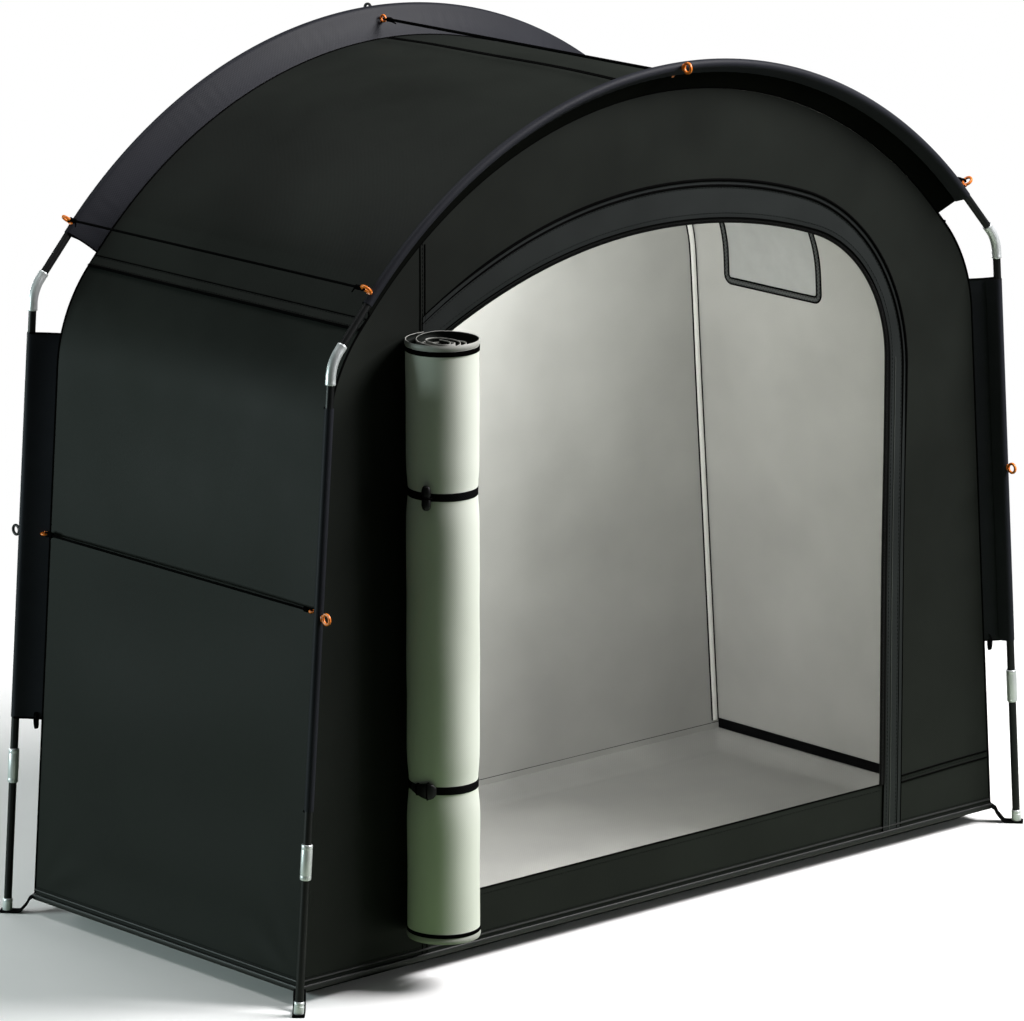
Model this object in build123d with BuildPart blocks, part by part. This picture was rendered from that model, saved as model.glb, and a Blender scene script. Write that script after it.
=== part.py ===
from build123d import *
from math import atan2, cos, degrees, hypot, pi, radians, sin, sqrt, tan
import os

os.makedirs("parts", exist_ok=True)

# Fabric storage tent on two pole hoops, in millimetres
# X runs along the front, the front faces -Y, the ground is Z = 0

# Hoops: an arch on two splayed legs
hoop_spacing = 912.0
foot_span = 1980.0
hoop_top = 1730.0
knee_height = 1268.0
arch_run = 141.0
leg_splay = 4.2
pole_dia = 16.0
tube_clearance = 0.2

# Elbows, ferrules and feet on the poles
elbow_dia = 20.0
elbow_bend_radius = 80.0
elbow_socket = 14.0
ferrule_dia = 22.0
ferrule_length = 70.0
ferrule_low = 268.0
foot_dia = 20.0
foot_height = 28.0
foot_base = 5.0
pin_dia = 6.0
pin_lift = 0.5

# Cloth body, held inside the hoops by flanges
fabric = 2.0
seam_gap = 0.3
flange_depth = 42.0
arch_inset = 53.0
leg_inset = 36.0
shoulder_setback = 110.0
eave_seam_drop = 12.0
eave_flap_lap = 2.0
eave_flap_width = 19.0
eave_flap_margin = 3.0
tape_width = 16.0
tape_thickness = 1.0

# Flanges with their pole sleeves
sleeve_wall = 1.5
sleeve_clearance = 0.3
sleeve_sides = 8
arch_flange_margin = 0.3
leg_flange_low = 400.0
leg_flange_drop = 88.0

# Base of the body
hem_height = 35.0
hem_width = 6.0
hem_depth = 12.0
hem_round = 2.8
floor_run = 60.0
floor_edge_width = 4.0
strap_width = 25.0
strap_thickness = 2.5
strap_tail = 14.0
strap_knee = 34.0

# Doorway in the front wall and its rolled cloth door
door_side_margin = 370.0
door_head_drop = 328.0
door_arch_outset = 275.0
door_corner_radius = 302.0
sill_height = 143.0
head_corner_width = 170.0
surround_side_width = 62.0
surround_head_width = 87.0
surround_arch_outset = 195.0
surround_corner_radius = 429.0
hinge_margin = 12.0
zip_width = 12.0
zip_thickness = 1.5
roll_radius = 71.0
roll_waist_radius = 66.0
roll_shift = 25.0
roll_low = 99.0
roll_top_drop = 117.0
tie_height_shares = (0.26, 0.75)
tie_width = 20.0
tie_thickness = 2.5
toggle_dia = 14.0
toggle_length = 42.0
toggle_chamfer = 4.0
toggle_bearing = 207.0

# Window in the right end wall
window_rear_margin = 98.0
window_drop = 162.0
window_width = 286.0
window_height = 220.0
window_radius = 14.0
window_frame_width = 16.0
window_frame_lap = 8.0
window_frame_thickness = 1.5
pane_gap = 0.2

# Moulded eyes on the sleeves and the stays between the hoops
eye_dia = 24.0
eye_bore = 14.0
eye_thickness = 5.0
eye_stand = 13.0
eye_shank = 9.0
side_eye_height = 780.0
stay_eye_dia = 17.0
stay_eye_bore = 9.0
stay_eye_thickness = 4.0
stay_eye_stand = 10.0
stay_eye_shank = 6.0
stay_dia = 5.0
ridge_stay_seat = 40.0
side_stay_seat = 9.0

# Reach of a cut past the material
overrun = 20.0

# Worked out from the driving sizes
half_spacing = hoop_spacing / 2
foot_x = foot_span / 2
pole_radius = pole_dia / 2
splay = radians(leg_splay)
knee_x = foot_x - knee_height * tan(splay)
arch_rise = hoop_top - knee_height
arch_radius = (knee_x**2 + arch_rise**2 - arch_run**2) / (arch_rise + arch_rise)
arch_centre = hoop_top - arch_radius
arch_angle = atan2(knee_x, knee_height - arch_centre) - atan2(arch_run, arch_radius)
body_half_depth = half_spacing - flange_depth
roof_radius = arch_radius - arch_inset
sleeve_bore = pole_radius + sleeve_clearance
sleeve_radius = sleeve_bore + sleeve_wall
socket_radius = pole_radius + tube_clearance
hoop_places = {"front": -half_spacing, "rear": half_spacing}
outward = {"front": -1, "rear": 1}


def leg_x(height, inset):
    """X of the right leg's line, moved inwards by inset, at a height above the ground."""
    return foot_x - inset / cos(splay) - height * tan(splay)


def leg_plane(height, place_y):
    """Plane square to the right leg at a height, with its x axis outwards."""
    return Plane(
        origin=(leg_x(height, 0), place_y, height),
        x_dir=(cos(splay), 0, sin(splay)),
        z_dir=(-sin(splay), 0, cos(splay)),
    )


def hoop_plane(place_y):
    """Upright plane of a hoop, with x along the front and y up."""
    return Plane(origin=(0, place_y, 0), x_dir=(1, 0, 0), z_dir=(0, -1, 0))


# The arch ends in a straight run to the knee, where an elbow turns it into the leg
elbow_turn = pi / 2 - arch_angle - splay
elbow_setback = elbow_bend_radius * tan(elbow_turn / 2)
shoulder_radius = shoulder_setback / tan(elbow_turn / 2)
eave_height = arch_centre + roof_radius * cos(arch_angle)
eave_seam_height = eave_height - eave_seam_drop


def arc_end(radius):
    """End of an arc of the arch, on the right."""
    return (radius * sin(arch_angle), arch_centre + radius * cos(arch_angle))


def on_run(distance):
    """Point on the arch's straight end, a distance above the knee."""
    return (knee_x - distance * cos(arch_angle), knee_height + distance * sin(arch_angle))


def on_leg(distance):
    """Point on the leg, a distance below the knee."""
    return (knee_x + distance * sin(splay), knee_height - distance * cos(splay))


def mirrored(point):
    """The same point of an outline on the left."""
    return (-point[0], point[1])


def body_section(inset, low):
    """End-on outline of the tent body, moved inwards by inset and cut off at a low level."""
    radius = roof_radius - inset
    eave = arc_end(radius)
    run_share = cos(arch_angle) - sin(arch_angle) * tan(splay)
    run = (leg_x(eave[1], leg_inset + inset) - eave[0]) / run_share
    shoulder = (eave[0] + run * cos(arch_angle), eave[1] - run * sin(arch_angle))
    foot = (leg_x(low, leg_inset + inset), low)
    with BuildSketch() as section:
        with BuildLine():
            Polyline(mirrored(eave), mirrored(shoulder), mirrored(foot), foot, shoulder, eave)
            ThreePointArc(eave, (0, arch_centre + radius), mirrored(eave))
        make_face()
        fillet(section.vertices().sort_by(Axis.Y)[2:4], shoulder_radius - inset)
    return section.sketch


door_half_width = foot_x - door_side_margin
door_top = hoop_top - door_head_drop
door_arch_radius = roof_radius + door_arch_outset
surround_arch_radius = roof_radius + surround_arch_outset


def arched_outline(half_width, top, radius, corner_radius, low):
    """Outline with an arched head, its hand corner rounded and its hinge corner left square."""
    centre = top - radius
    spring = centre + sqrt(radius**2 - half_width**2)
    with BuildSketch() as outline:
        with BuildLine():
            Line((-half_width, low), (half_width, low))
            Line((half_width, low), (half_width, spring))
            ThreePointArc((half_width, spring), (0, centre + radius), (-half_width, spring))
            Line((-half_width, spring), (-half_width, low))
        make_face()
        hand_side = outline.vertices().sort_by(Axis.Y)[2:].sort_by(Axis.X)[-1]
        fillet(hand_side, corner_radius)
    return outline.sketch


def doorway(grow, low):
    """Outline of the doorway, grown outwards."""
    return arched_outline(
        door_half_width + grow,
        door_top + grow,
        door_arch_radius + grow,
        door_corner_radius + grow,
        low,
    )


def strip_section(inset, sleeve_side):
    """Slanted cloth strip from the body's edge to the pole, with the sleeve round the pole."""
    length = hypot(inset, flange_depth)
    slope = atan2(sleeve_side * flange_depth, inset)
    reach = length - seam_gap - sleeve_bore - sleeve_wall / 2
    middle = seam_gap + reach / 2 - length
    turn = degrees(pi / sleeve_sides)
    with BuildSketch() as section:
        RegularPolygon(sleeve_radius, sleeve_sides, major_radius=False, rotation=turn)
        with Locations((middle * cos(slope), middle * sin(slope))):
            Rectangle(reach, fabric, rotation=degrees(slope))
        RegularPolygon(sleeve_bore, sleeve_sides, major_radius=False, rotation=turn, mode=Mode.SUBTRACT)
    return section.sketch


def eye_solid(plane, dia, bore, thickness, stand, shank):
    """Moulded eye in a plane whose x axis points away from its seat, with a shank back to the seat."""
    with BuildPart() as eye:
        with BuildSketch(plane):
            Circle(dia / 2)
            with Locations((-(stand - seam_gap) / 2, 0)):
                Rectangle(stand - seam_gap, shank)
            Circle(bore / 2, mode=Mode.SUBTRACT)
        extrude(amount=thickness / 2, both=True)
    return eye.part


def eye_plane(seat, away, axis, distance):
    """Plane of an eye that stands a distance off its seat along a direction."""
    return Plane(origin=Vector(*seat) + Vector(*away) * distance, x_dir=away, z_dir=axis)


# Hoop poles: arch, legs, elbows, ferrules and feet
pole_joint = ferrule_low + ferrule_length / 2
elbow_low_z = on_leg(elbow_setback)[1]
foot_seat = strap_thickness + foot_base

for side, place_y in hoop_places.items():
    with BuildPart() as arch_pole:
        with BuildLine(hoop_plane(place_y)) as arch_path:
            run_end = on_run(elbow_setback)
            arch_end = arc_end(arch_radius)
            Line(mirrored(run_end), mirrored(arch_end))
            ThreePointArc(mirrored(arch_end), (0, hoop_top), arch_end)
            Line(arch_end, run_end)
        with BuildSketch(Plane(origin=arch_path.line @ 0, z_dir=arch_path.line % 0)):
            Circle(pole_radius)
        sweep()
    arch_pole.part.label = f"{side}_arch_pole"
    export_step(arch_pole.part, f"parts/{side}_arch_pole.step")

    with BuildPart() as elbows:
        with BuildLine(hoop_plane(place_y)) as elbow_path:
            elbow_arm = elbow_setback + elbow_socket
            FilletPolyline(on_leg(elbow_arm), on_leg(0), on_run(elbow_arm), radius=elbow_bend_radius)
        with BuildSketch(Plane(origin=elbow_path.line @ 0, z_dir=elbow_path.line % 0)):
            Circle(elbow_dia / 2)
            Circle(socket_radius, mode=Mode.SUBTRACT)
        sweep()
        mirror(about=Plane.YZ)
    elbows.part.label = f"{side}_elbows"
    export_step(elbows.part, f"parts/{side}_elbows.step")

    with BuildPart() as upper_legs:
        with BuildSketch(leg_plane(pole_joint, place_y)):
            Circle(pole_radius)
        extrude(amount=(elbow_low_z - pole_joint) / cos(splay))
        mirror(about=Plane.YZ)
    upper_legs.part.label = f"{side}_upper_legs"
    export_step(upper_legs.part, f"parts/{side}_upper_legs.step")

    with BuildPart() as lower_legs:
        with BuildSketch(leg_plane(foot_seat, place_y)):
            Circle(pole_radius)
        extrude(amount=(pole_joint - foot_seat) / cos(splay))
        mirror(about=Plane.YZ)
    lower_legs.part.label = f"{side}_lower_legs"
    export_step(lower_legs.part, f"parts/{side}_lower_legs.step")

    with BuildPart() as ferrules:
        with BuildSketch(leg_plane(ferrule_low, place_y)):
            Circle(ferrule_dia / 2)
            Circle(socket_radius, mode=Mode.SUBTRACT)
        extrude(amount=ferrule_length / cos(splay))
        mirror(about=Plane.YZ)
    ferrules.part.label = f"{side}_ferrules"
    export_step(ferrules.part, f"parts/{side}_ferrules.step")

    with BuildPart() as feet:
        with BuildSketch(leg_plane(0, place_y)):
            Circle(foot_dia / 2)
        extrude(amount=foot_height)
        with BuildSketch(leg_plane(foot_seat, place_y)):
            Circle(socket_radius)
        extrude(amount=foot_height, mode=Mode.SUBTRACT)
        split(bisect_by=Plane.XY.offset(strap_thickness), keep=Keep.TOP)
        with BuildSketch(Plane.XY.offset(pin_lift)):
            with Locations((leg_x(strap_thickness, 0), place_y)):
                Circle(pin_dia / 2)
        extrude(amount=strap_thickness - pin_lift)
        mirror(about=Plane.YZ)
    feet.part.label = f"{side}_feet"
    export_step(feet.part, f"parts/{side}_feet.step")

# Flanges: conical strip and sleeve over the arch, straight strip and sleeve down each leg
flange_angle = degrees(arch_angle) - arch_flange_margin
leg_flange_high = knee_height - leg_flange_drop

for side, place_y in hoop_places.items():
    start = radians(-flange_angle)
    arch_section_plane = Plane(
        origin=(arch_radius * sin(start), place_y, arch_centre + arch_radius * cos(start)),
        x_dir=(sin(start), 0, cos(start)),
        z_dir=(-cos(start), 0, sin(start)),
    )
    turn_axis = Axis((0, 0, arch_centre), (0, 1, 0))
    with BuildPart() as arch_flange:
        with BuildSketch(arch_section_plane):
            add(strip_section(arch_inset, outward[side]))
        revolve(axis=turn_axis, revolution_arc=flange_angle + flange_angle)
    arch_flange.part.label = f"{side}_arch_flange"
    export_step(arch_flange.part, f"parts/{side}_arch_flange.step")

    with BuildPart() as leg_flanges:
        with BuildSketch(leg_plane(leg_flange_low, place_y)):
            add(strip_section(leg_inset, outward[side]))
        extrude(amount=(leg_flange_high - leg_flange_low) / cos(splay))
        mirror(about=Plane.YZ)
    leg_flanges.part.label = f"{side}_leg_flanges"
    export_step(leg_flanges.part, f"parts/{side}_leg_flanges.step")

# Cloth tunnel: end walls and roof in one layer, with a flap over each eave seam
body_height = arch_centre + roof_radius
tunnel_plane = hoop_plane(body_half_depth)
body_depth = body_half_depth + body_half_depth


def tunnel_band(outer_inset, inner_inset, low, high, across):
    """Part of the tunnel's layer between two insets and two levels, across a range of x."""
    with BuildSketch() as band:
        add(body_section(outer_inset, hem_height))
        add(body_section(inner_inset, hem_height - overrun), mode=Mode.SUBTRACT)
        with Locations(((across[0] + across[1]) / 2, (low + high) / 2)):
            Rectangle(across[1] - across[0], high - low, mode=Mode.INTERSECT)
    return band.sketch


left_half = (-foot_x, 0)
right_half = (0, foot_x)

with BuildPart() as left_end_wall:
    with BuildSketch(tunnel_plane):
        add(tunnel_band(0, fabric, hem_height, eave_seam_height, left_half))
    extrude(amount=body_depth)
left_end_wall.part.label = "left_end_wall"
export_step(left_end_wall.part, "parts/left_end_wall.step")

window_centre_y = body_half_depth - window_rear_margin - window_width / 2
window_centre_z = eave_height - window_drop
window_plane = Plane(origin=(0, window_centre_y, window_centre_z), x_dir=(0, 1, 0), z_dir=(1, 0, 0))

with BuildPart() as right_end_wall:
    with BuildSketch(tunnel_plane):
        add(tunnel_band(0, fabric, hem_height, eave_seam_height, right_half))
    extrude(amount=body_depth)
    with BuildSketch(window_plane):
        RectangleRounded(window_width, window_height, window_radius)
    extrude(amount=foot_x, mode=Mode.SUBTRACT)
right_end_wall.part.label = "right_end_wall"
export_step(right_end_wall.part, "parts/right_end_wall.step")

with BuildPart() as roof_panel:
    with BuildSketch(tunnel_plane):
        add(tunnel_band(0, fabric, eave_seam_height, body_height + overrun, (-foot_x, foot_x)))
    extrude(amount=body_depth)
roof_panel.part.label = "roof_panel"
export_step(roof_panel.part, "parts/roof_panel.step")

flap_high = eave_seam_height + eave_flap_lap
flap_low = flap_high - eave_flap_width

with BuildPart() as eave_flaps:
    with BuildSketch(tunnel_plane.offset(eave_flap_margin)):
        add(tunnel_band(-fabric, 0, flap_low, flap_high, left_half))
        add(tunnel_band(-fabric, 0, flap_low, flap_high, right_half))
    extrude(amount=body_depth - eave_flap_margin - eave_flap_margin)
eave_flaps.part.label = "eave_flaps"
export_step(eave_flaps.part, "parts/eave_flaps.step")

# Window in the right end wall: a bound frame on each face of the wall and the pane between them
frame_inner_width = window_width - window_frame_lap - window_frame_lap
frame_inner_height = window_height - window_frame_lap - window_frame_lap
frame_outer_width = frame_inner_width + window_frame_width + window_frame_width
frame_outer_height = frame_inner_height + window_frame_width + window_frame_width
frame_inner_radius = window_radius - window_frame_lap
frame_layers = ((-window_frame_thickness, 0), (fabric, fabric + window_frame_thickness))
window_low = window_centre_z - frame_outer_height / 2 - overrun
window_high = window_centre_z + frame_outer_height / 2 + overrun

with BuildPart() as window_frame:
    with BuildSketch(tunnel_plane):
        for outer_inset, inner_inset in frame_layers:
            add(tunnel_band(outer_inset, inner_inset, window_low, window_high, right_half))
    extrude(amount=body_depth)
    with BuildSketch(window_plane):
        RectangleRounded(frame_outer_width, frame_outer_height, frame_inner_radius + window_frame_width)
        RectangleRounded(frame_inner_width, frame_inner_height, frame_inner_radius, mode=Mode.SUBTRACT)
    extrude(amount=foot_x, mode=Mode.INTERSECT)
window_frame.part.label = "window_frame"
export_step(window_frame.part, "parts/window_frame.step")

with BuildPart() as window_pane:
    with BuildSketch(tunnel_plane):
        add(tunnel_band(pane_gap, fabric - pane_gap, window_low, window_high, right_half))
    extrude(amount=body_depth)
    with BuildSketch(window_plane):
        RectangleRounded(
            window_width - pane_gap - pane_gap,
            window_height - pane_gap - pane_gap,
            window_radius - pane_gap,
        )
    extrude(amount=foot_x, mode=Mode.INTERSECT)
window_pane.part.label = "window_pane"
export_step(window_pane.part, "parts/window_pane.step")

# Rear wall with the taped seam round its inner edge
wall_inset = fabric + seam_gap

with BuildPart() as rear_wall:
    with BuildSketch(tunnel_plane):
        add(body_section(wall_inset, hem_height))
    extrude(amount=fabric)
rear_wall.part.label = "rear_wall"
export_step(rear_wall.part, "parts/rear_wall.step")

with BuildPart() as rear_seam_tape:
    with BuildSketch(tunnel_plane.offset(fabric)):
        add(body_section(wall_inset, hem_height))
        add(body_section(wall_inset + tape_width, hem_height - overrun), mode=Mode.SUBTRACT)
    extrude(amount=tape_thickness)
rear_seam_tape.part.label = "rear_seam_tape"
export_step(rear_seam_tape.part, "parts/rear_seam_tape.step")

# Front wall: skirt below the sill, a panel beside each side of the doorway, and the head with its corners
front_plane = hoop_plane(-body_half_depth)
wide = foot_span
head_half_width = door_half_width - head_corner_width


def front_panel(low, high, across):
    """Part of the front wall between two levels, across a range of x, with the doorway cut out."""
    with BuildSketch() as panel:
        add(body_section(wall_inset, hem_height))
        with Locations(((across[0] + across[1]) / 2, (low + high) / 2)):
            Rectangle(across[1] - across[0], high - low, mode=Mode.INTERSECT)
        add(doorway(0, sill_height), mode=Mode.SUBTRACT)
    return panel.sketch


panel_top = body_height + overrun
front_panels = {
    "front_skirt": (hem_height, sill_height, [(-wide, wide)]),
    "front_wall_left": (sill_height, panel_top, [(-wide, -door_half_width)]),
    "front_wall_right": (sill_height, panel_top, [(door_half_width, wide)]),
    "front_wall_head": (sill_height, panel_top, [(-head_half_width, head_half_width)]),
    "front_wall_corners": (
        sill_height,
        panel_top,
        [(-door_half_width, -head_half_width), (head_half_width, door_half_width)],
    ),
}

for panel_name, (low, high, spans) in front_panels.items():
    with BuildPart() as front_wall_panel:
        with BuildSketch(front_plane):
            for across in spans:
                add(front_panel(low, high, across))
        extrude(amount=-fabric)
    front_wall_panel.part.label = panel_name
    export_step(front_wall_panel.part, f"parts/{panel_name}.step")

# Doorway surround, a second layer round the head and the hand side, and the zip along its edge
hem_top = hem_height + hem_depth / 2
hinge_x = -door_half_width - hinge_margin

with BuildPart() as door_surround:
    with BuildSketch(front_plane):
        add(
            arched_outline(
                door_half_width + surround_side_width,
                door_top + surround_head_width,
                surround_arch_radius,
                surround_corner_radius,
                hem_top,
            )
        )
        add(doorway(0, hem_top - overrun), mode=Mode.SUBTRACT)
        with Locations(((hinge_x + wide) / 2, panel_top / 2)):
            Rectangle(wide - hinge_x, panel_top, mode=Mode.INTERSECT)
    extrude(amount=fabric)
door_surround.part.label = "door_surround"
export_step(door_surround.part, "parts/door_surround.step")

with BuildPart() as door_zip:
    with BuildSketch(front_plane.offset(fabric)):
        add(doorway(zip_width, sill_height))
        add(doorway(0, sill_height - overrun), mode=Mode.SUBTRACT)
        with Locations(((wide - door_half_width) / 2, panel_top / 2)):
            Rectangle(wide + door_half_width, panel_top, mode=Mode.INTERSECT)
    extrude(amount=zip_thickness)
door_zip.part.label = "door_zip"
export_step(door_zip.part, "parts/door_zip.step")

# Cloth door rolled up beside the doorway, with two ties and their toggles
roll_x = -door_half_width - roll_shift
roll_reach = sqrt(roll_radius**2 - (roll_shift - hinge_margin) ** 2)
roll_y = -body_half_depth - fabric - seam_gap - roll_reach
roll_plane = Plane(origin=(roll_x, roll_y, 0), x_dir=(1, 0, 0), z_dir=(0, -1, 0))
roll_axis = Axis((roll_x, roll_y, 0), (0, 0, 1))
roll_high = door_top - roll_top_drop
roll_length = roll_high - roll_low
tie_heights = [roll_low + share * roll_length for share in tie_height_shares]
roll_middle = (tie_heights[0] + tie_heights[1]) / 2

with BuildPart() as rolled_door:
    with BuildSketch(roll_plane):
        with BuildLine():
            Polyline(
                (0, roll_low),
                (roll_radius, roll_low),
                (roll_waist_radius, tie_heights[0] - tie_width / 2),
                (roll_waist_radius, tie_heights[0] + tie_width / 2),
                (roll_radius, roll_middle),
                (roll_waist_radius, tie_heights[1] - tie_width / 2),
                (roll_waist_radius, tie_heights[1] + tie_width / 2),
                (roll_radius, roll_high),
                (0, roll_high),
                close=True,
            )
        make_face()
    revolve(axis=roll_axis)
rolled_door.part.label = "rolled_door"
export_step(rolled_door.part, "parts/rolled_door.step")

tie_bore = roll_waist_radius + seam_gap
tie_outer = tie_bore + tie_thickness

with BuildPart() as door_ties:
    for tie_height in tie_heights:
        with BuildSketch(Plane(origin=(roll_x, roll_y, tie_height))):
            Circle(tie_outer)
            Circle(tie_bore, mode=Mode.SUBTRACT)
        extrude(amount=tie_width / 2, both=True)
door_ties.part.label = "door_ties"
export_step(door_ties.part, "parts/door_ties.step")

toggle_reach = tie_outer + seam_gap + toggle_dia / 2
toggle_x = roll_x + toggle_reach * cos(radians(toggle_bearing))
toggle_y = roll_y + toggle_reach * sin(radians(toggle_bearing))

with BuildPart() as tie_toggles:
    with Locations(*[(toggle_x, toggle_y, tie_height) for tie_height in tie_heights]):
        Cylinder(toggle_dia / 2, toggle_length)
    chamfer(tie_toggles.edges().filter_by(GeomType.CIRCLE), toggle_chamfer)
tie_toggles.part.label = "tie_toggles"
export_step(tie_toggles.part, "parts/tie_toggles.step")

# Base: piped hem round the foot of the walls, ground sheet and its raised edges
base_half = leg_x(hem_height, leg_inset)
hem_side_x = base_half + seam_gap
hem_corner_x = hem_side_x + hem_width
hem_corner_y = body_half_depth + hem_width
hem_end_y = body_half_depth - seam_gap


def on_hem_outside(edge):
    """True for an edge on the outer face of the hem."""
    middle = edge.center()
    past_side = abs(middle.X) - hem_corner_x
    past_front = abs(middle.Y) - hem_corner_y
    return max(past_side, past_front) > -hem_width / 2


with BuildPart() as base_hem:
    for sign in (-1, 1):
        long_bar = Plane(origin=(-hem_corner_x, 0, hem_height), x_dir=(0, sign, 0), z_dir=(1, 0, 0))
        with BuildSketch(long_bar):
            with Locations((body_half_depth + hem_width / 2, 0)):
                Rectangle(hem_width, hem_depth)
        extrude(amount=hem_corner_x + hem_corner_x)
        short_bar = Plane(origin=(0, -sign * hem_end_y, hem_height), x_dir=(sign, 0, 0), z_dir=(0, sign, 0))
        with BuildSketch(short_bar):
            with Locations((hem_side_x + hem_width / 2, 0)):
                Rectangle(hem_width, hem_depth)
        extrude(amount=hem_end_y + hem_end_y)
    fillet(base_hem.edges().filter_by(on_hem_outside).filter_by(Axis.Z, reverse=True), hem_round)
base_hem.part.label = "base_hem"
export_step(base_hem.part, "parts/base_hem.step")

sheet_half_x = base_half - floor_run
sheet_half_y = body_half_depth - floor_run

with BuildPart() as ground_sheet:
    with BuildSketch():
        Rectangle(sheet_half_x + sheet_half_x, sheet_half_y + sheet_half_y)
    extrude(amount=fabric)
ground_sheet.part.label = "ground_sheet"
export_step(ground_sheet.part, "parts/ground_sheet.step")

half_edge = floor_edge_width / 2
low_end_y = sheet_half_y - seam_gap
high_end_y = body_half_depth - floor_edge_width - seam_gap

with BuildPart() as floor_edges:
    for sign in (-1, 1):
        with BuildSketch():
            with Locations((0, sign * (sheet_half_y + half_edge))):
                Rectangle(sheet_half_x + sheet_half_x, floor_edge_width)
        with BuildSketch(Plane.XY.offset(hem_height)):
            with Locations((0, sign * (body_half_depth - half_edge))):
                Rectangle(base_half + base_half, floor_edge_width)
        loft()
        with BuildSketch():
            with Locations((sign * (sheet_half_x + half_edge), 0)):
                Rectangle(floor_edge_width, low_end_y + low_end_y)
        with BuildSketch(Plane.XY.offset(hem_height)):
            with Locations((sign * (base_half - half_edge), 0)):
                Rectangle(floor_edge_width, high_end_y + high_end_y)
        loft()
floor_edges.part.label = "floor_edges"
export_step(floor_edges.part, "parts/floor_edges.step")

# Webbing strap from each corner of the base down to the pole foot that stands on it
corner_dx = foot_x - base_half
corner_dy = half_spacing - body_half_depth
corner_run = hypot(corner_dx, corner_dy)
hem_reach = ((hem_corner_x - base_half) * corner_dx + hem_width * corner_dy) / corner_run
strap_top = corner_run - hem_reach - seam_gap
strap_rise = atan2(hem_height - strap_thickness, strap_top - strap_knee)
strap_bend = strap_thickness * tan(strap_rise / 2)
strap_low_end = (strap_top, hem_height - strap_thickness)
strap_high_end = (
    strap_top - strap_thickness * sin(strap_rise),
    hem_height - strap_thickness + strap_thickness * cos(strap_rise),
)

with BuildPart() as corner_straps:
    strap_plane = Plane(
        origin=(foot_x, -half_spacing, 0),
        x_dir=(-corner_dx, corner_dy, 0),
        z_dir=(corner_dy, corner_dx, 0),
    )
    with BuildSketch(strap_plane):
        with BuildLine():
            Polyline(
                (-strap_tail, 0),
                (strap_knee, 0),
                strap_low_end,
                strap_high_end,
                (strap_knee - strap_bend, strap_thickness),
                (-strap_tail, strap_thickness),
                close=True,
            )
        make_face()
    extrude(amount=strap_width / 2, both=True)
    with BuildSketch(Plane.XY):
        with Locations((leg_x(strap_thickness, 0), -half_spacing)):
            Circle(pin_dia / 2 + tube_clearance)
    extrude(amount=strap_thickness, mode=Mode.SUBTRACT)
    mirror(about=Plane.YZ)
    mirror(about=Plane.XZ)
corner_straps.part.label = "corner_straps"
export_step(corner_straps.part, "parts/corner_straps.step")

# Moulded eyes: guy eyes on the outer face of each hoop, eave eyes on the arch, stay eyes between the hoops
eye_reach = sleeve_radius + eye_stand
leg_eye_x = leg_x(side_eye_height, 0)
eave_angle = radians(flange_angle) - eye_shank / arch_radius

for side, place_y in hoop_places.items():
    away = (0, outward[side], 0)
    seats = (
        (0, place_y, hoop_top),
        (-leg_eye_x, place_y, side_eye_height),
        (leg_eye_x, place_y, side_eye_height),
    )
    with BuildPart() as guy_eyes:
        for seat in seats:
            plane = eye_plane(seat, away, (1, 0, 0), eye_reach)
            add(eye_solid(plane, eye_dia, eye_bore, eye_thickness, eye_stand, eye_shank))
    guy_eyes.part.label = f"{side}_guy_eyes"
    export_step(guy_eyes.part, f"parts/{side}_guy_eyes.step")

with BuildPart() as eave_eyes:
    for place_y in hoop_places.values():
        for hand in (-1, 1):
            radial = (hand * sin(eave_angle), 0, cos(eave_angle))
            tangent = (hand * cos(eave_angle), 0, -sin(eave_angle))
            seat = (arch_radius * radial[0], place_y, arch_centre + arch_radius * radial[2])
            plane = eye_plane(seat, radial, tangent, eye_reach)
            add(eye_solid(plane, eye_dia, eye_bore, eye_thickness, eye_stand, eye_shank))
eave_eyes.part.label = "eave_eyes"
export_step(eave_eyes.part, "parts/eave_eyes.step")

stay_sizes = (stay_eye_dia, stay_eye_bore, stay_eye_thickness, stay_eye_stand, stay_eye_shank)
stay_stand = fabric / 2 + stay_eye_stand
side_x = leg_x(side_eye_height, leg_inset)


def flange_seat(inset, seat):
    """Slope of a flange across and along Y, and an eye's place on it from the body's edge."""
    run = hypot(inset, flange_depth)
    across = inset / run
    along = flange_depth / run
    edge = (seat * across, seat * along)
    eye = (edge[0] + stay_stand * along, edge[1] - stay_stand * across)
    return across, along, edge, eye


ridge_across, ridge_along, ridge_edge, ridge_eye = flange_seat(arch_inset, ridge_stay_seat)
side_across, side_along, side_edge, side_eye = flange_seat(leg_inset, side_stay_seat)

with BuildPart() as stay_eyes:
    for out in outward.values():
        ridge_seat = (0, out * (body_half_depth + ridge_edge[1]), body_height + ridge_edge[0])
        ridge_lean = (0, -out * ridge_across, ridge_along)
        add(eye_solid(eye_plane(ridge_seat, ridge_lean, (1, 0, 0), stay_stand), *stay_sizes))
        for hand in (-1, 1):
            seat_x = hand * (side_x + side_edge[0])
            side_seat = (seat_x, out * (body_half_depth + side_edge[1]), side_eye_height)
            side_lean = (hand * side_along, -out * side_across, 0)
            add(eye_solid(eye_plane(side_seat, side_lean, (0, 0, 1), stay_stand), *stay_sizes))
stay_eyes.part.label = "stay_eyes"
export_step(stay_eyes.part, "parts/stay_eyes.step")


def stay(place_x, half_length, place_z):
    """Taut stay along Y between two eyes."""
    with BuildPart() as line:
        with BuildSketch(Plane(origin=(place_x, -half_length, place_z), x_dir=(1, 0, 0), z_dir=(0, 1, 0))):
            Circle(stay_dia / 2)
        extrude(amount=half_length + half_length)
    return line.part


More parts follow.
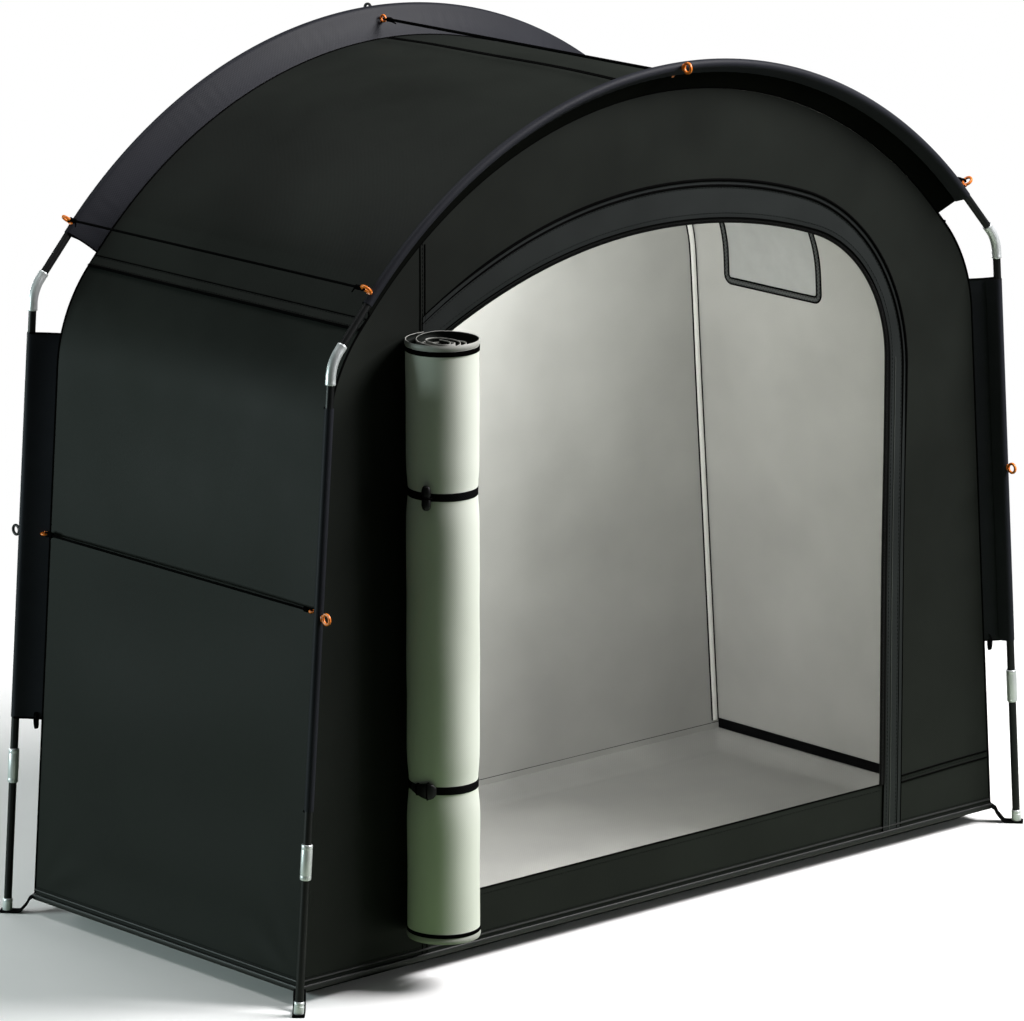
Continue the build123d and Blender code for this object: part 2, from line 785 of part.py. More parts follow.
ridge_half = body_half_depth + ridge_eye[1] - stay_eye_dia / 2 - seam_gap
eave_half = half_spacing - eye_dia / 2 - seam_gap
side_half = body_half_depth + side_eye[1] - stay_eye_dia / 2 - seam_gap
eave_stay_x = (arch_radius + eye_reach) * sin(eave_angle)
eave_stay_z = arch_centre + (arch_radius + eye_reach) * cos(eave_angle)

with BuildPart() as ridge_stay:
    add(stay(0, ridge_half, body_height + ridge_eye[0]))
ridge_stay.part.label = "ridge_stay"
export_step(ridge_stay.part, "parts/ridge_stay.step")

with BuildPart() as eave_stays:
    for hand in (-1, 1):
        add(stay(hand * eave_stay_x, eave_half, eave_stay_z))
eave_stays.part.label = "eave_stays"
export_step(eave_stays.part, "parts/eave_stays.step")

with BuildPart() as side_stays:
    for hand in (-1, 1):
        add(stay(hand * (side_x + side_eye[0]), side_half, side_eye_height))
side_stays.part.label = "side_stays"
export_step(side_stays.part, "parts/side_stays.step")
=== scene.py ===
from math import acos, atan2, ceil, cos, hypot, pi, radians, sin, sqrt, tan

import bmesh
import bpy
import numpy as np
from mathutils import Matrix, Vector


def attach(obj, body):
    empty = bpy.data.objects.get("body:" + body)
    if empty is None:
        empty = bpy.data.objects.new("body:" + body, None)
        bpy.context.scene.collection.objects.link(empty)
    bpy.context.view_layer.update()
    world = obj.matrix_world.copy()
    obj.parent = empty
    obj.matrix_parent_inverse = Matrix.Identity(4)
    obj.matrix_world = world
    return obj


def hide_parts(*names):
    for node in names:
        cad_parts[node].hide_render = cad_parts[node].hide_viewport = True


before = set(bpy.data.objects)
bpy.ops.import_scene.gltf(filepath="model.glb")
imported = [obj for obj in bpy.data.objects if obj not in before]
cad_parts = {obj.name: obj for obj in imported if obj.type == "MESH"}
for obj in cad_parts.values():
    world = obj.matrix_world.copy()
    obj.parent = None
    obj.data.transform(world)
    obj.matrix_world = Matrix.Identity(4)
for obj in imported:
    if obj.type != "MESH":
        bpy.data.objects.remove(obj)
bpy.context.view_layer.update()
scene = bpy.context.scene

# Sizes in metres, the same as the solids have
half_spacing = 0.456
foot_x = 0.990
hoop_top = 1.730
knee_height = 1.268
arch_run = 0.141
splay = radians(4.2)
elbow_bend_radius = 0.080
elbow_socket = 0.014
ferrule_low = 0.268
flange_depth = 0.042
flange_margin = radians(0.3)
arch_inset = 0.053
leg_inset = 0.036
leg_flange_low = 0.400
leg_flange_high = 1.180
shoulder_setback = 0.110
hem_height = 0.035
sill_height = 0.143
door_half_width = 0.620
door_top = 1.402
door_arch_outset = 0.275
door_corner_radius = 0.302
surround_half_width = 0.682
surround_top = 1.489
surround_arch_outset = 0.195
surround_corner_radius = 0.429
hinge_x = -0.632
roll_centre = np.array([-0.645, -0.4861])
roll_radius = 0.0705
roll_low = 0.099
roll_high = 1.285
tie_heights = (0.4074, 0.9885)
window_middle = (0.173, 1.1753)
window_size = (0.286, 0.220)
window_radius = 0.014
eave_seam_drop = 0.012
eave_seam_run = 0.0162
side_eye_height = 0.780
side_stay_seat = 0.009
ridge_stay_seat = 0.040

# Cloth: real cloth is under half a millimetre, drawn thicker so that its edges show
cloth_thickness = 0.0012
cloth_step = 0.014
# The front and rear panels lie just inside the tunnel's edge, and the trim on the front starts above the hem
panel_inset = 0.0023
hem_top = 0.041

# Worked out as in the solids
knee_x = foot_x - knee_height * tan(splay)
arch_rise = hoop_top - knee_height
arch_radius = (knee_x**2 + arch_rise**2 - arch_run**2) / (2 * arch_rise)
arch_centre = hoop_top - arch_radius
arch_angle = atan2(knee_x, knee_height - arch_centre) - atan2(arch_run, arch_radius)
elbow_turn = pi / 2 - arch_angle - splay
shoulder_radius = shoulder_setback / tan(elbow_turn / 2)
roof_radius = arch_radius - arch_inset
body_half_depth = half_spacing - flange_depth
flange_angle = arch_angle - flange_margin
door_arch_radius = roof_radius + door_arch_outset
surround_arch_radius = roof_radius + surround_arch_outset
# Directions in the X-Z plane: off the right leg, down it, and up from the right elbow
off_leg = np.array([cos(splay), sin(splay)])
down_leg = np.array([sin(splay), -cos(splay)])
up_run = np.array([-cos(arch_angle), sin(arch_angle)])
four_legs = [(hand, sign) for hand in (-1, 1) for sign in (-1, 1)]


# Points and lines
def joined(*parts):
    """Points from their coordinates, each a number or an array."""
    return np.stack(np.broadcast_arrays(*parts), axis=-1)


def unit(vectors):
    return vectors / np.linalg.norm(vectors, axis=-1, keepdims=True)


def steps(low, high, size=cloth_step):
    """Even steps from low to high, each at most size."""
    return np.linspace(low, high, max(2, ceil((high - low) / size) + 1))


def circle(count):
    turn = np.linspace(0, 2 * pi, count, endpoint=False)
    return joined(np.cos(turn), np.sin(turn))


def loop_round(centre, one, two, count):
    """Closed loop round a centre, drawn by its two half axes."""
    turn = circle(count)
    return np.asarray(centre) + turn[:, :1] * np.asarray(one) + turn[:, 1:] * np.asarray(two)


def closed_up(rows):
    """Grid of points whose rows end where they start."""
    return np.concatenate([rows, rows[:, :1]], axis=1)


class Line:
    """Line of points read by the distance along it."""

    def __init__(self, points):
        self.points = np.asarray(points, float)
        lengths = np.linalg.norm(np.diff(self.points, axis=0), axis=1)
        self.marks = np.append(0.0, np.cumsum(lengths))
        self.length = self.marks[-1]

    def at(self, distance):
        return joined(*(np.interp(distance, self.marks, column) for column in self.points.T))

    def outward(self, distance, reach=0.003):
        """Unit vector to the left of a line in the X-Z plane."""
        ahead = self.at(np.minimum(distance + reach, self.length))
        step = unit(ahead - self.at(np.maximum(distance - reach, 0)))
        return joined(-step[..., 1], step[..., 0])

    def spaced(self, step):
        return self.at(steps(0, self.length, step))

    def even(self, count):
        """A number of even steps, without the last point."""
        return self.at(np.linspace(0, self.length, count, endpoint=False))


def arc(centre, radius, start, end, count):
    """Points on an arc in the X-Z plane, with angles from +X."""
    turn = np.linspace(start, end, count)
    return joined(centre[0] + radius * np.cos(turn), centre[1] + radius * np.sin(turn))


# Outlines of the body, the doorway and its surround in the X-Z plane
leg_count = 60
jamb_count = 80


def leg_x(height, inset):
    """X of the right leg's line at a height, moved inwards."""
    return foot_x - inset / cos(splay) - height * tan(splay)


def half_outline(inset, low):
    """Right half of the body's outline, from its foot up to the crown."""
    radius = roof_radius - inset
    eave = np.array([radius * sin(arch_angle), arch_centre + radius * cos(arch_angle)])
    run = (leg_x(eave[1], leg_inset + inset) - eave[0]) / (cos(arch_angle) - sin(arch_angle) * tan(splay))
    corner = eave - run * up_run
    bend = shoulder_radius - inset
    start = corner + bend * tan(elbow_turn / 2) * down_leg
    leg = np.linspace((leg_x(low, leg_inset + inset), low), start, leg_count)
    shoulder = arc(start - bend * off_leg, bend, splay, pi / 2 - arch_angle, 24)
    straight = np.linspace(shoulder[-1], eave, 6)
    crown = arc((0, arch_centre), radius, pi / 2 - arch_angle, pi / 2, 70)
    return np.concatenate([leg[:-1], shoulder[:-1], straight[:-1], crown])


def whole_outline(inset, low):
    """The body's outline from the left foot over the crown to the right foot."""
    right = half_outline(inset, low)
    return Line(np.concatenate([right * (-1, 1), right[::-1][1:]]))


def arched_edge(half_width, top, radius, bend, left, low):
    """Arched edge: from x = left along the head, round the hand corner and down the hand side."""
    centre = top - radius
    corner_x = half_width - bend
    corner_z = centre + sqrt((radius - bend) ** 2 - corner_x**2)
    meet = atan2(corner_z - centre, corner_x)
    head = arc((0, centre), radius, acos(left / radius), meet, 110)
    corner = arc((corner_x, corner_z), bend, meet, 0, 40)
    side = np.linspace(corner[-1], (half_width, low), jamb_count)
    return np.concatenate([head[:-1], corner[:-1], side])


def doorway(grow, left, low):
    """Doorway's edge, grown outwards."""
    sizes = np.array([door_half_width, door_top, door_arch_radius, door_corner_radius])
    return arched_edge(*(sizes + grow), left, low)


def surround_edge(grow, left, low):
    """Outer edge of the doorway's surround, grown outwards."""
    sizes = np.array([surround_half_width, surround_top, surround_arch_radius, surround_corner_radius])
    return arched_edge(*(sizes + grow), left, low)


body_line = whole_outline(0.0, hem_height)
wall_line = Line(half_outline(0.0, hem_height))
wall_x, wall_z = wall_line.points[:-1].T
panel_line = whole_outline(panel_inset, hem_height)
crown_mark = body_line.length / 2
roof_half = roof_radius * arch_angle
eave_mark = crown_mark - roof_half
seam_mark = eave_mark - eave_seam_run
eave_z = arch_centre + roof_radius * cos(arch_angle)


# How cloth waves and folds
def smooth(value):
    value = np.clip(value, 0, 1)
    return value * value * (3 - 2 * value)


def held(value, low, high, reach):
    """0 at the two held edges, 1 once reach away from both."""
    return smooth(np.minimum(value - low, high - value) / reach)


def ripple(u, v, seed, size):
    """Seeded gentle waves of about -1 to 1, with crests about size apart."""
    draw = np.random.default_rng(seed)
    total = 0
    for _ in range(6):
        heading, length, phase = draw.uniform(0, pi), size * draw.uniform(0.7, 1.6), draw.uniform(0, 2 * pi)
        total = total + np.sin((u * cos(heading) + v * sin(heading)) * 2 * pi / length + phase)
    return total / 3.5


def fan(u, v, corner, folds, reach, seed):
    """Fine tension folds that spread from a held corner and fade."""
    du, dv = u - corner[0], v - corner[1]
    far = np.hypot(du, dv) / reach
    phase = np.random.default_rng(seed).uniform(0, 2 * pi)
    return np.sin(folds * np.arctan2(dv, du) + phase) * far * np.exp(1 - far**2)


# Materials
def linear(hex_colour):
    """Linear colour of an sRGB hex value."""
    parts = [int(hex_colour[i : i + 2], 16) / 255 for i in (1, 3, 5)]
    return [c / 12.92 if c <= 0.04045 else ((c + 0.055) / 1.055) ** 2.4 for c in parts] + [1.0]


def add_node(tree, kind, inputs=None, **settings):
    """Adds a node, sets what it is given, and links a socket or a node's first output."""
    made = tree.nodes.new(kind)
    for name, value in settings.items():
        setattr(made, name, value)
    for name, value in (inputs or {}).items():
        if isinstance(value, bpy.types.Node):
            value = value.outputs[0]
        if isinstance(value, bpy.types.NodeSocket):
            tree.links.new(value, made.inputs[name])
        else:
            made.inputs[name].default_value = value
    return made


def new_material(name):
    material = bpy.data.materials.new(name)
    material.use_nodes = True
    material.node_tree.nodes.clear()
    return material, material.node_tree


def shade(tree, colour, roughness, bump, **shader):
    """Ends a material in a Principled shader and the surface output."""
    inputs = {"Base Color": colour, "Roughness": roughness, "Normal": bump, **shader}
    body = add_node(tree, "ShaderNodeBsdfPrincipled", inputs)
    add_node(tree, "ShaderNodeOutputMaterial", {"Surface": body})


# Sizes of cloth's tone clouds and slubs in millimetres, the slubs drawn coarse so that they show
cloud_mm = 294.0
slub_mm = 2.381


def woven(name, dark, light, thread_mm, weave_mm, rough, cloud=0.25, **shader):
    """Coated plain weave: over-and-under threads in the piece's own UV, cloudy tone, uneven coating."""
    material, tree = new_material(name)
    uv = add_node(tree, "ShaderNodeUVMap", uv_map="cloth")
    half_turns = [pi * 1000 / thread_mm] * 3
    turned = add_node(tree, "ShaderNodeVectorMath", {0: uv, 1: half_turns}, operation="MULTIPLY")
    axes = add_node(tree, "ShaderNodeSeparateXYZ", {0: turned})
    warp = add_node(tree, "ShaderNodeMath", {0: axes.outputs[0]}, operation="SINE")
    weft = add_node(tree, "ShaderNodeMath", {0: axes.outputs[1]}, operation="SINE")
    over = add_node(tree, "ShaderNodeMath", {0: warp, 1: weft}, operation="MULTIPLY")
    place = add_node(tree, "ShaderNodeTexCoord").outputs["Object"]
    clouds = add_node(
        tree, "ShaderNodeTexNoise",
        {"Vector": place, "Scale": 1000 / cloud_mm, "Detail": 3.0, "Roughness": 0.55},
    )
    slubs = add_node(
        tree, "ShaderNodeTexNoise", {"Vector": uv, "Scale": 1000 / slub_mm, "Detail": 2.0, "Roughness": 0.6}
    )
    grain = add_node(tree, "ShaderNodeMath", {0: slubs, 1: cloud, 2: clouds}, operation="MULTIPLY_ADD")
    thread = add_node(tree, "ShaderNodeMath", {0: over, 1: cloud * 0.3, 2: grain}, operation="MULTIPLY_ADD")
    level = add_node(tree, "ShaderNodeMapRange", {0: thread, 1: 0.25, 2: 0.85 + cloud * 0.5, 3: 0.0, 4: 1.0})
    colour = add_node(
        tree, "ShaderNodeMix", {"Factor": level, 6: linear(dark), 7: linear(light)}, data_type="RGBA"
    )
    coat = add_node(tree, "ShaderNodeMapRange", {0: grain, 1: 0.3, 2: 1.0, 3: rough - 0.07, 4: rough + 0.08})
    bump = add_node(tree, "ShaderNodeBump", {"Strength": 0.35, "Distance": weave_mm / 1000, "Height": over})
    shade(tree, colour.outputs[2], coat, bump, **shader)
    return material


def hard(name, dark, light, grain_mm, stretch, rough, spread, depth_mm, **shader):
    """Hard finish: streaked or speckled tone, uneven roughness and a fine skin."""
    material, tree = new_material(name)
    place = add_node(tree, "ShaderNodeTexCoord").outputs["Object"]
    laid = add_node(tree, "ShaderNodeMapping", {"Vector": place, "Scale": stretch})
    grain = add_node(
        tree, "ShaderNodeTexNoise",
        {"Vector": laid, "Scale": 1000 / grain_mm, "Detail": 4.0, "Roughness": 0.6},
    )
    level = add_node(tree, "ShaderNodeMapRange", {0: grain, 1: 0.3, 2: 0.7})
    colour = add_node(
        tree, "ShaderNodeMix", {"Factor": level, 6: linear(dark), 7: linear(light)}, data_type="RGBA"
    )
    gloss = add_node(
        tree, "ShaderNodeMapRange", {0: grain, 1: 0.25, 2: 0.75, 3: rough - spread, 4: rough + spread}
    )
    bump = add_node(tree, "ShaderNodeBump", {"Strength": 0.3, "Distance": depth_mm / 1000, "Height": grain})
    shade(tree, colour.outputs[2], gloss, bump, **shader)
    return material


matt = {"Specular IOR Level": 0.0}
low_sheen = {"Specular IOR Level": 0.08}
satin = {"Specular IOR Level": 0.25}
soft_shine = {"Specular IOR Level": 0.3}

# PU-coated woven polyester: near black, low sheen, thread drawn at 2 mm so that it shows
outer_cloth = woven("pu_coated_woven_polyester", "#121412", "#1f221f", 2.0, 0.22, 0.55, **low_sheen)
# The same cloth where it is doubled: a shade lighter, as painted light so that the surround reads lit
doubled_cloth_painted_light = woven("pu_coated_polyester_doubled_painted_light", "#1a1c1c", "#2a2d2d", 2.0, 0.22, 0.52, **low_sheen)
# The coated side of the pole sleeves: a greyer, lighter copy of the outer cloth, as painted light so that the
# flange bands and the sleeves read lit
sleeve_painted_light_cloth = woven("pu_coated_polyester_sleeve_painted_light", "#1a1b20", "#28292f", 2.0, 0.22, 0.50, **low_sheen)
# The other face of the same strip: near black, without sheen; painted shade that stands in for the shadow on
# the flange strip
sleeve_painted_shade = woven("woven_polyester_painted_shade", "#0a0b0a", "#141513", 2.0, 0.22, 0.75, **matt)
# Flat band between two cords: grey; the same grey paints a highlight line on a cord down the doorway's hand
# side
grey_band_and_painted_highlight = woven("flat_woven_band_and_painted_highlight", "#3a3c3c", "#565957", 1.8, 0.15, 0.5, **low_sheen)
# Silver coating rolled on the inner face: pale grey, even
silver_lining = woven("silver_coated_polyester_lining", "#9a9a96", "#b4b4b0", 2.0, 0.12, 0.48, 0.18)
# The door's coated face: pale grey with a green cast; the green cast is painted light, standing in for green
# light bounced up from a lawn
door_cloth = woven("silver_coated_polyester_painted_green_bounce", "#cdd1c7", "#dfe2da", 2.0, 0.12, 0.46, 0.15, **low_sheen)
# Floor cloth: coated polyethylene weave, grey, scuffed
floor_cloth = woven("coated_woven_polyethylene_floor", "#777775", "#93938f", 3.0, 0.25, 0.55, 0.3)
# Polypropylene webbing: black, coarse ribs
webbing = woven("woven_polypropylene_webbing", "#080808", "#141415", 2.6, 0.5, 0.70, **matt)
# Rolled binding tape on cut edges and piping: black, without sheen
binding = woven("folded_polyester_binding_tape", "#040404", "#0b0b0b", 1.8, 0.3, 0.7, **matt)
# Heat-applied seam tape: smooth, pale
seam_tape = woven("heat_applied_seam_tape", "#ebebe6", "#f7f7f2", 2.4, 0.06, 0.38, 0.1)
# Piping cord in coated tape: black with a narrow sheen along its crest
piping_tape = woven("coated_piping_cord", "#0e0f0f", "#191a1a", 1.8, 0.3, 0.42, **soft_shine)
# Braided polyester cord: black, without sheen
cord_braid = woven("braided_polyester_cord", "#040404", "#0b0b0b", 1.6, 0.3, 0.7, **matt)
# Spun polyester thread: black, a little lighter than the cloth's folds
thread = woven("spun_polyester_thread", "#0b0c0c", "#161717", 1.0, 0.1, 0.7, **matt)
# Nylon coil and tape: black, low sheen
zip_nylon = woven("coiled_nylon_zip", "#050505", "#0e0e0e", 1.2, 0.15, 0.42, **low_sheen)

# Grain of hard finishes, in millimetres: drawn coarse so that it shows, even or stretched along the draw
evenly = (1, 1, 1)
along_draw = (1, 1, 0.05)
# Powder-coated steel tube: satin black with a faint orange-peel
pole_paint = hard("powder_coated_steel_tube", "#08090a", "#121314", 1.111, evenly, 0.42, 0.06, 0.08, **satin)
# Drawn aluminium, tumbled: bright and soft, with streaks along the draw
drawn_aluminium = hard(
    "drawn_aluminium", "#d2d6d8", "#e4e7e9", 3.846, along_draw, 0.38, 0.04, 0.004, Metallic=0.55
)
# Injection-moulded polyamide: orange, slightly glossy
orange_plastic = hard("moulded_orange_polyamide", "#d9640f", "#ee8a2c", 3.846, evenly, 0.34, 0.06, 0.05)
# Moulded acetal: black, smooth
black_plastic = hard("moulded_black_acetal", "#060607", "#0e0e0f", 2.381, evenly, 0.44, 0.05, 0.04, **satin)
# Frosted vinyl film: pale smoky sheet that lets some light through
window_vinyl = hard(
    "frosted_vinyl_film", "#aeb0ad", "#b8bab7", 40.0, evenly, 0.36, 0.04, 0.02, **{"Transmission Weight": 0.4}
)


# Pieces
class Form:
    """Gathers the points, faces and UVs of one piece before they become a mesh."""

    def __init__(self):
        self.points = []
        self.faces = []
        self.uvs = []
        self.finishes = []

    def grid(self, points, uvs=None, flip=False, finish=0):
        """Adds rows and columns of points as quads."""
        rows, columns = points.shape[:2]
        if uvs is None:
            along = np.linalg.norm(np.diff(points, axis=0), axis=-1).mean(axis=1)
            around = np.linalg.norm(np.diff(points, axis=1), axis=-1).mean(axis=0)
            uvs = joined(np.append(0, np.cumsum(around)), np.append(0, np.cumsum(along))[:, None])
        mark = len(self.points) + np.arange(rows * columns).reshape(rows, columns)
        quads = joined(mark[:-1, :-1], mark[:-1, 1:], mark[1:, 1:], mark[1:, :-1]).reshape(-1, 4)
        if flip:
            quads = quads[:, ::-1]
        self.points.extend(points.reshape(-1, 3).tolist())
        self.uvs.extend(np.asarray(uvs).reshape(-1, 2).tolist())
        self.faces.extend(quads.tolist())
        self.finishes.extend(np.broadcast_to(finish, (rows - 1, columns - 1)).ravel().tolist())
        return mark

    def cap(self, ring, finish=0):
        """Closes a ring of points with one face."""
        self.faces.append([int(i) for i in ring])
        self.finishes.append(finish)

    def band(self, rows, ring=False, finish=0):
        """Closed strip from the lines that run along it, in order round its section."""
        rows = np.stack([*rows, rows[0]])
        mark = self.grid(closed_up(rows) if ring else rows, finish=finish)
        if not ring:
            self.cap(mark[:-1, 0])
            self.cap(mark[:-1, -1][::-1])

    def sweep(self, line, profile, normal, closed=False, finish=0):
        """Carries a closed profile of (across, up) points along a line, with up near normal."""
        line = np.asarray(line, float)
        if closed:
            step = unit(np.roll(line, -1, axis=0) - np.roll(line, 1, axis=0))
        else:
            step = unit(np.gradient(line, axis=0))
        across = unit(np.cross(step, normal))
        up = np.cross(across, step)
        profile = np.broadcast_to(profile, (len(line),) + np.shape(profile)[-2:])
        rings = closed_up(line[:, None] + profile[..., :1] * across[:, None] + profile[..., 1:] * up[:, None])
        if closed:
            rings = np.concatenate([rings, rings[:1]])
        mark = self.grid(rings, finish=finish)
        if not closed:
            self.cap(mark[0, :-1][::-1], finish)
            self.cap(mark[-1, :-1], finish)

    def tube(self, line, radius, sides=8, normal=(0, 1, 0), closed=False, finish=0):
        """Round tube along a line; radius may change along it."""
        radius = np.broadcast_to(radius, (len(line),))
        self.sweep(line, circle(sides) * radius[:, None, None], normal, closed, finish)

    def piece(self, name, finishes, slot, nodes=(), closed=True, sharp=40):
        """Makes the mesh, merges its doubles, turns closed shells outwards and rides it on the body."""
        mesh = bpy.data.meshes.new(name)
        mesh.from_pydata(self.points, [], self.faces)
        layer = mesh.uv_layers.new(name="cloth")
        corners = np.zeros(len(mesh.loops), dtype=np.int32)
        mesh.loops.foreach_get("vertex_index", corners)
        layer.data.foreach_set("uv", np.asarray(self.uvs, np.float32)[corners].ravel())
        mesh.polygons.foreach_set("material_index", np.asarray(self.finishes, np.int32))
        for finish in finishes:
            mesh.materials.append(finish)
        work = bmesh.new()
        work.from_mesh(mesh)
        bmesh.ops.remove_doubles(work, verts=work.verts, dist=1e-6)
        if closed:
            bmesh.ops.recalc_face_normals(work, faces=work.faces)
        work.to_mesh(mesh)
        work.free()
        mesh.polygons.foreach_set("use_smooth", np.ones(len(mesh.polygons), dtype=bool))
        # Open edges count as sharp, so that a thickened sheet isn't shaded round its edge
        mesh.set_sharp_from_angle(angle=radians(sharp))
        sides = np.zeros(len(mesh.loops), dtype=np.int32)
        mesh.loops.foreach_get("edge_index", sides)
        hard_edges = np.zeros(len(mesh.edges), dtype=bool)
        mesh.edges.foreach_get("use_edge_sharp", hard_edges)
        hard_edges |= np.bincount(sides, minlength=len(mesh.edges)) == 1
        mesh.edges.foreach_set("use_edge_sharp", hard_edges)
        made = bpy.data.objects.new(name, mesh)
        scene.collection.objects.link(made)
        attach(made, "root")
        if nodes:
            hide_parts(*nodes)
        return made


def thicken(made, thickness):
    """Gives a sheet its thickness, inwards."""
    wall = made.modifiers.new("thickness", "SOLIDIFY")
    wall.thickness = thickness
    wall.offset = -1.0
    return wall


def cloth(name, points, slot="outer_cloth", nodes=(), finishes=None, inner=(0, 0, 0.8),
          uvs=None, thickness=cloth_thickness, finish=0):
    """Sheet of cloth from a grid of points on its outer face, thickened and lined towards the inner point."""
    form = Form()
    corner = points[:-1, :-1]
    outward = np.cross(points[:-1, 1:] - corner, points[1:, :-1] - corner)
    form.grid(points, uvs, np.sum(outward * (corner - inner)) < 0, finish)
    made = form.piece(name, finishes or [outer_cloth, silver_lining], slot, nodes, closed=False, sharp=60)
    thicken(made, thickness).material_offset = 1 if len(made.data.materials) > 1 else 0


def strap_profile(width, thickness):
    """Flat strap with rounded edges: across is its thickness, up its width."""
    half_w, half_t = width / 2, thickness / 2
    edge = half_t * 0.75
    quarter = np.array([(half_t - edge, half_w), (half_t, half_w - edge)])
    upper = np.concatenate([quarter[::-1], quarter * (-1, 1)])
    return np.concatenate([-upper, upper])


def rounded_section(width, height):
    """Closed section with well rounded corners."""
    turn = circle(16)
    return np.array([width, height]) / 2 * np.sign(turn) * np.abs(turn) ** 0.6


# Tunnel cloth: the two end walls and the roof
roof_belly, wall_hollow = 0.005, 0.006
roof_wave, wall_wave = 0.0016, 0.0030
pucker_height, pucker_pitch = 0.0005, 0.041
seam_reach = 0.12


def tunnel_lift(mark, place_y):
    """How far the tunnel's cloth stands off its pattern: belly, hollow, soft waves, puckers by the hoops."""
    from_crown = np.abs(mark - crown_mark)
    roof = held(from_crown, -roof_half, roof_half, seam_reach)
    wall = held(from_crown, roof_half, crown_mark, seam_reach)
    span = 1 - (place_y / body_half_depth) ** 2
    edge = body_half_depth - np.abs(place_y)
    gathers = np.sin(mark * 2 * pi / pucker_pitch + 1.7 * np.sin(mark * 9))
    pucker = np.exp(-edge / 0.016) * smooth(edge / 0.006) * gathers
    wave = ripple(mark, place_y, 11, 0.42) * (roof_wave * roof + wall_wave * wall)
    loose = held(place_y, -body_half_depth, body_half_depth, 0.16)
    return span * (roof_belly * roof - wall_hollow * wall) + wave * loose + pucker_height * pucker


def on_tunnel(mark, place_y, lift=0.0):
    """Points on the tunnel's cloth, a distance round it from the left hem, raised by lift."""
    mark, place_y = np.broadcast_arrays(np.asarray(mark, float), np.asarray(place_y, float))
    rise = (tunnel_lift(mark, place_y) + lift)[..., None]
    spot = body_line.at(mark) + body_line.outward(mark) * rise
    return joined(spot[..., 0], place_y, spot[..., 1])


across_y = steps(-body_half_depth, body_half_depth)
fold_height, fold_count, fold_reach = 0.0007, 11, 0.13

mark_grid, y_grid = np.meshgrid(steps(0.0, seam_mark), across_y, indexing="ij")
left_points = on_tunnel(mark_grid, y_grid)
wall_corners = ((seam_mark, -1), (seam_mark, 1), (0, -1), (0, 1))
corner_folds = sum(
    fan(mark_grid, y_grid, (mark, sign * body_half_depth), fold_count, fold_reach, seed)
    for seed, (mark, sign) in enumerate(wall_corners, start=1)
)
fold_mask = held(mark_grid, 0, seam_mark, 0.03) * held(y_grid, -body_half_depth, body_half_depth, 0.03)
left_points[..., 0] -= fold_height * corner_folds * fold_mask
cloth(
    "left_wall_cloth", left_points, nodes=["left_end_wall"],
    uvs=joined(y_grid, mark_grid),
)

mark_grid, y_grid = np.meshgrid(steps(seam_mark, body_line.length - seam_mark), across_y, indexing="ij")
cloth(
    "roof_cloth", on_tunnel(mark_grid, y_grid),
    nodes=["roof_panel"], uvs=joined(y_grid, mark_grid),
)


# Window end: the wall with its opening, in (y, z)
def window_loop(grow, per_side=26, per_corner=7):
    """Closed loop round the window, grown outwards, in four sides that each start half way round a corner."""
    bend = window_radius + grow
    centres = np.array([(-1, -1), (1, -1), (1, 1), (-1, 1)]) * (np.array(window_size) / 2 + grow - bend)
    points = []
    for k, (centre, after) in enumerate(zip(centres, np.roll(centres, -1, axis=0))):
        start = pi + k * pi / 2
        late = arc(centre, bend, start + pi / 4, start + pi / 2, per_corner)
        early = arc(after, bend, start + pi / 2, start + 3 * pi / 4, per_corner)
        straight = np.linspace(late[-1], early[0], per_side)
        points.append(np.concatenate([late[:-1], straight[:-1], early[:-1]]))
    return np.concatenate(points) + window_middle


def on_window_wall(spots, lift=0.0):
    """Points on the right end wall at their (y, z), raised by lift."""
    mark = np.interp(spots[..., 1], wall_z, wall_line.marks[:-1])
    return on_tunnel(body_line.length - mark, spots[..., 0], lift)


window_edge = window_loop(0.0)
per_side = len(window_edge) // 4
wall_low, wall_high = hem_height, eave_z - eave_seam_drop
wall_ring_count = 46
wall_ends = np.array([(-body_half_depth, wall_low), (body_half_depth, wall_low),
                      (body_half_depth, wall_high), (-body_half_depth, wall_high)])
wall_edge = np.concatenate([
    np.linspace(start, stop, per_side, endpoint=False)
    for start, stop in zip(wall_ends, np.roll(wall_ends, -1, axis=0))
])
wall_rings = closed_up(np.linspace(window_edge, wall_edge, wall_ring_count))
cloth(
    "right_wall_cloth", on_window_wall(wall_rings),
    nodes=["right_end_wall"], uvs=wall_rings,
)

film_lap, film_thickness = 0.004, 0.0006
film_sag, film_wave = 0.0025, 0.0006
film_share = np.linspace(1, 0.02, 9)[:, None, None]
film = closed_up((window_loop(film_lap) - window_middle) * film_share + window_middle)
film_sink = film_sag * (1 - film_share[..., 0] ** 2)
film_lift = film_wave * ripple(film[..., 0], film[..., 1], 8, 0.11) - film_sink
film_form = Form()
marks = film_form.grid(on_window_wall(film, film_lift - cloth_thickness), film, flip=True)
film_form.cap(marks[-1, :-1][::-1])
window_film = film_form.piece("window_film", [window_vinyl], "window_film", ["window_pane"], closed=False)
thicken(window_film, film_thickness)

# Bound frame of the window: two cords with a flat band between them, on each face of the wall
frame_form = Form()
half_welt = ((0.0044, 0.0008), (0.0050, 0.0014), (0.0066, 0.0023), (0.0082, 0.0014), (0.0086, 0.0))
welt = [(0.0, -0.0003)] + [(-grow, height) for grow, height in half_welt[::-1]] + list(half_welt)
flat_band = np.array([[1 if k == len(half_welt) else 0] for k in range(len(welt))])
wall_faces = ((1, 0.0), (-1, -cloth_thickness))
for face, base in wall_faces:
    rows = [on_window_wall(window_loop(grow), base + face * height) for grow, height in welt]
    frame_form.band(rows, ring=True, finish=flat_band)
frame_form.piece("window_binding", [binding, grey_band_and_painted_highlight], "webbing", ["window_frame"], sharp=75)


# Rear wall: one panel between hem, legs and roof
rear_wave, rear_hollow = 0.004, 0.003
rear_count = 110


